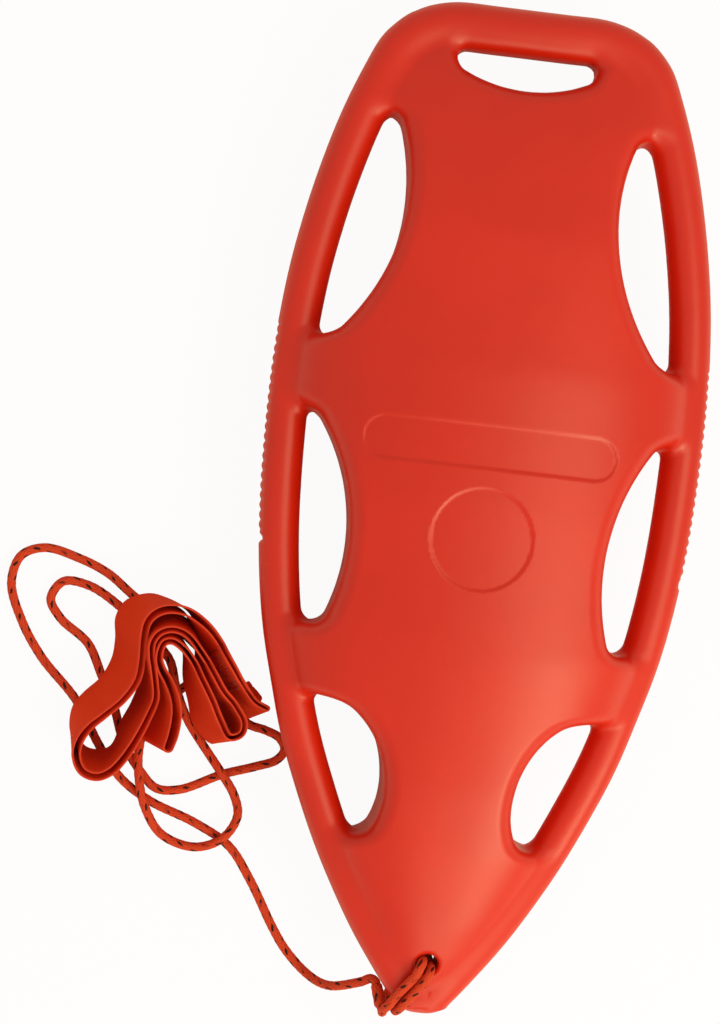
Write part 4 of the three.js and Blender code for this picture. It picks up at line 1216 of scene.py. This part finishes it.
def studio_world():
    """Warm light from all round, and plain white where the camera sees past the floor."""
    finish = Finish(bpy.data.worlds.new("studio"))
    seen = finish.node("ShaderNodeLightPath", outs=("Is Camera Ray",))
    lit, white = (
        finish.node("ShaderNodeBackground", {}, {"Color": tint, "Strength": strength})
        for tint, strength in (((1, 0.70, 0.52), 0.70), ((1, 1, 1), 1.0))
    )
    return finish.end(finish.between(seen, lit, white), "ShaderNodeOutputWorld")


def make_camera():
    """The photograph's view: nearly straight down, turned and tipped a little."""
    camera = bpy.data.cameras.new("camera")
    camera.sensor_fit, camera.sensor_height = "VERTICAL", 36.0
    camera.lens = camera.sensor_height * FOCAL_PX / PHOTO_TALL_PX
    camera.clip_start, camera.clip_end = 0.05, 30.0
    made = placed("camera", camera)
    turn = Matrix.Rotation(math.radians(CAMERA_TURN), 4, "Z")
    tip = Matrix.Rotation(-math.radians(CAMERA_TIP), 4, "Y")
    made.matrix_world = Matrix.Translation(CAMERA_PLACE) @ turn @ tip
    bpy.context.scene.camera = made


def make_stage():
    """The white floor, the world and three soft lamps."""
    scene = bpy.context.scene
    mesh = bpy.data.meshes.new("floor")
    corners = [
        (x * FLOOR_REACH, y * FLOOR_REACH, FLOOR_LEVEL) for x, y in ((-1, -1), (1, -1), (1, 1), (-1, 1))
    ]
    mesh.from_pydata(corners, [], [(0, 1, 2, 3)])
    floor = placed("floor", mesh)
    dress(floor, floor_finish())
    scene.world = studio_world()
    for name, place, power in LAMPS:
        lamp = bpy.data.lights.new(name, "AREA")
        lamp.color, lamp.shape, lamp.size, lamp.energy = WARM, "DISK", LAMP_SIZE, power
        made = placed(name, lamp)
        made.location = place
        made.rotation_euler = (Vector(AIM) - Vector(place)).to_track_quat("-Z", "Y").to_euler()
    scene.view_settings.view_transform = "Standard"


# Operators, panel and registration


class RESCUE_OT_camera(Operator):
    """Sets the camera at the photograph's view"""

    bl_idname = "rescue.camera"
    bl_label = "Camera"

    def execute(self, context):
        make_camera()
        return {"FINISHED"}


class RESCUE_OT_line(Operator):
    """Makes the braided line, its eye and sleeve, and the tunnel at its end"""

    bl_idname = "rescue.line"
    bl_label = "Towing line"

    def execute(self, context):
        make_line(context.scene.rescue_line, context.scene.rescue_finishes)
        return {"FINISHED"}


class RESCUE_OT_strap(Operator):
    """Makes the folded shoulder strap and its stitches"""

    bl_idname = "rescue.strap"
    bl_label = "Shoulder strap"

    def execute(self, context):
        make_strap(context.scene.rescue_line, context.scene.rescue_finishes)
        return {"FINISHED"}


class RESCUE_OT_hull(Operator):
    """Makes the moulded hull and finishes its foam core"""

    bl_idname = "rescue.hull"
    bl_label = "Hull"

    def execute(self, context):
        make_hull(context.scene.rescue_hull, context.scene.rescue_finishes)
        return {"FINISHED"}


class RESCUE_OT_vent(Operator):
    """Makes the vent's plug and seal and finishes its bush"""

    bl_idname = "rescue.vent"
    bl_label = "Vent"

    def execute(self, context):
        make_vent(context.scene.rescue_hull, context.scene.rescue_finishes)
        return {"FINISHED"}


class RESCUE_OT_stage(Operator):
    """Makes the floor and the soft studio light"""

    bl_idname = "rescue.stage"
    bl_label = "Stage"

    def execute(self, context):
        make_stage()
        return {"FINISHED"}


OPERATORS = (
    RESCUE_OT_camera, RESCUE_OT_line, RESCUE_OT_strap, RESCUE_OT_hull, RESCUE_OT_vent, RESCUE_OT_stage,
)


class RESCUE_PT_can(Panel):
    """Lists the makers and the sizes in the sidebar"""

    bl_idname = "RESCUE_PT_can"
    bl_label = "Rescue can"
    bl_space_type = "VIEW_3D"
    bl_region_type = "UI"
    bl_category = "Rescue can"

    def draw(self, context):
        for operator in OPERATORS:
            self.layout.operator(operator.bl_idname)
        for group in (context.scene.rescue_hull, context.scene.rescue_line, context.scene.rescue_finishes):
            box = self.layout.box()
            for name in group.__annotations__:
                box.prop(group, name)


CLASSES = (HullSizes, LineSizes, Finishes, *OPERATORS, RESCUE_PT_can)


def register():
    for made in CLASSES:
        bpy.utils.register_class(made)
    bpy.types.Scene.rescue_hull = PointerProperty(type=HullSizes)
    bpy.types.Scene.rescue_line = PointerProperty(type=LineSizes)
    bpy.types.Scene.rescue_finishes = PointerProperty(type=Finishes)


def unregister():
    for name in ("rescue_hull", "rescue_line", "rescue_finishes"):
        delattr(bpy.types.Scene, name)
    for made in reversed(CLASSES):
        bpy.utils.unregister_class(made)


def main():
    register()
    bpy.ops.rescue.camera()
    bpy.ops.rescue.line()
    bpy.ops.rescue.strap()
    bpy.ops.rescue.hull()
    bpy.ops.rescue.vent()
    bpy.ops.rescue.stage()


if __name__ == "__main__":
    main()
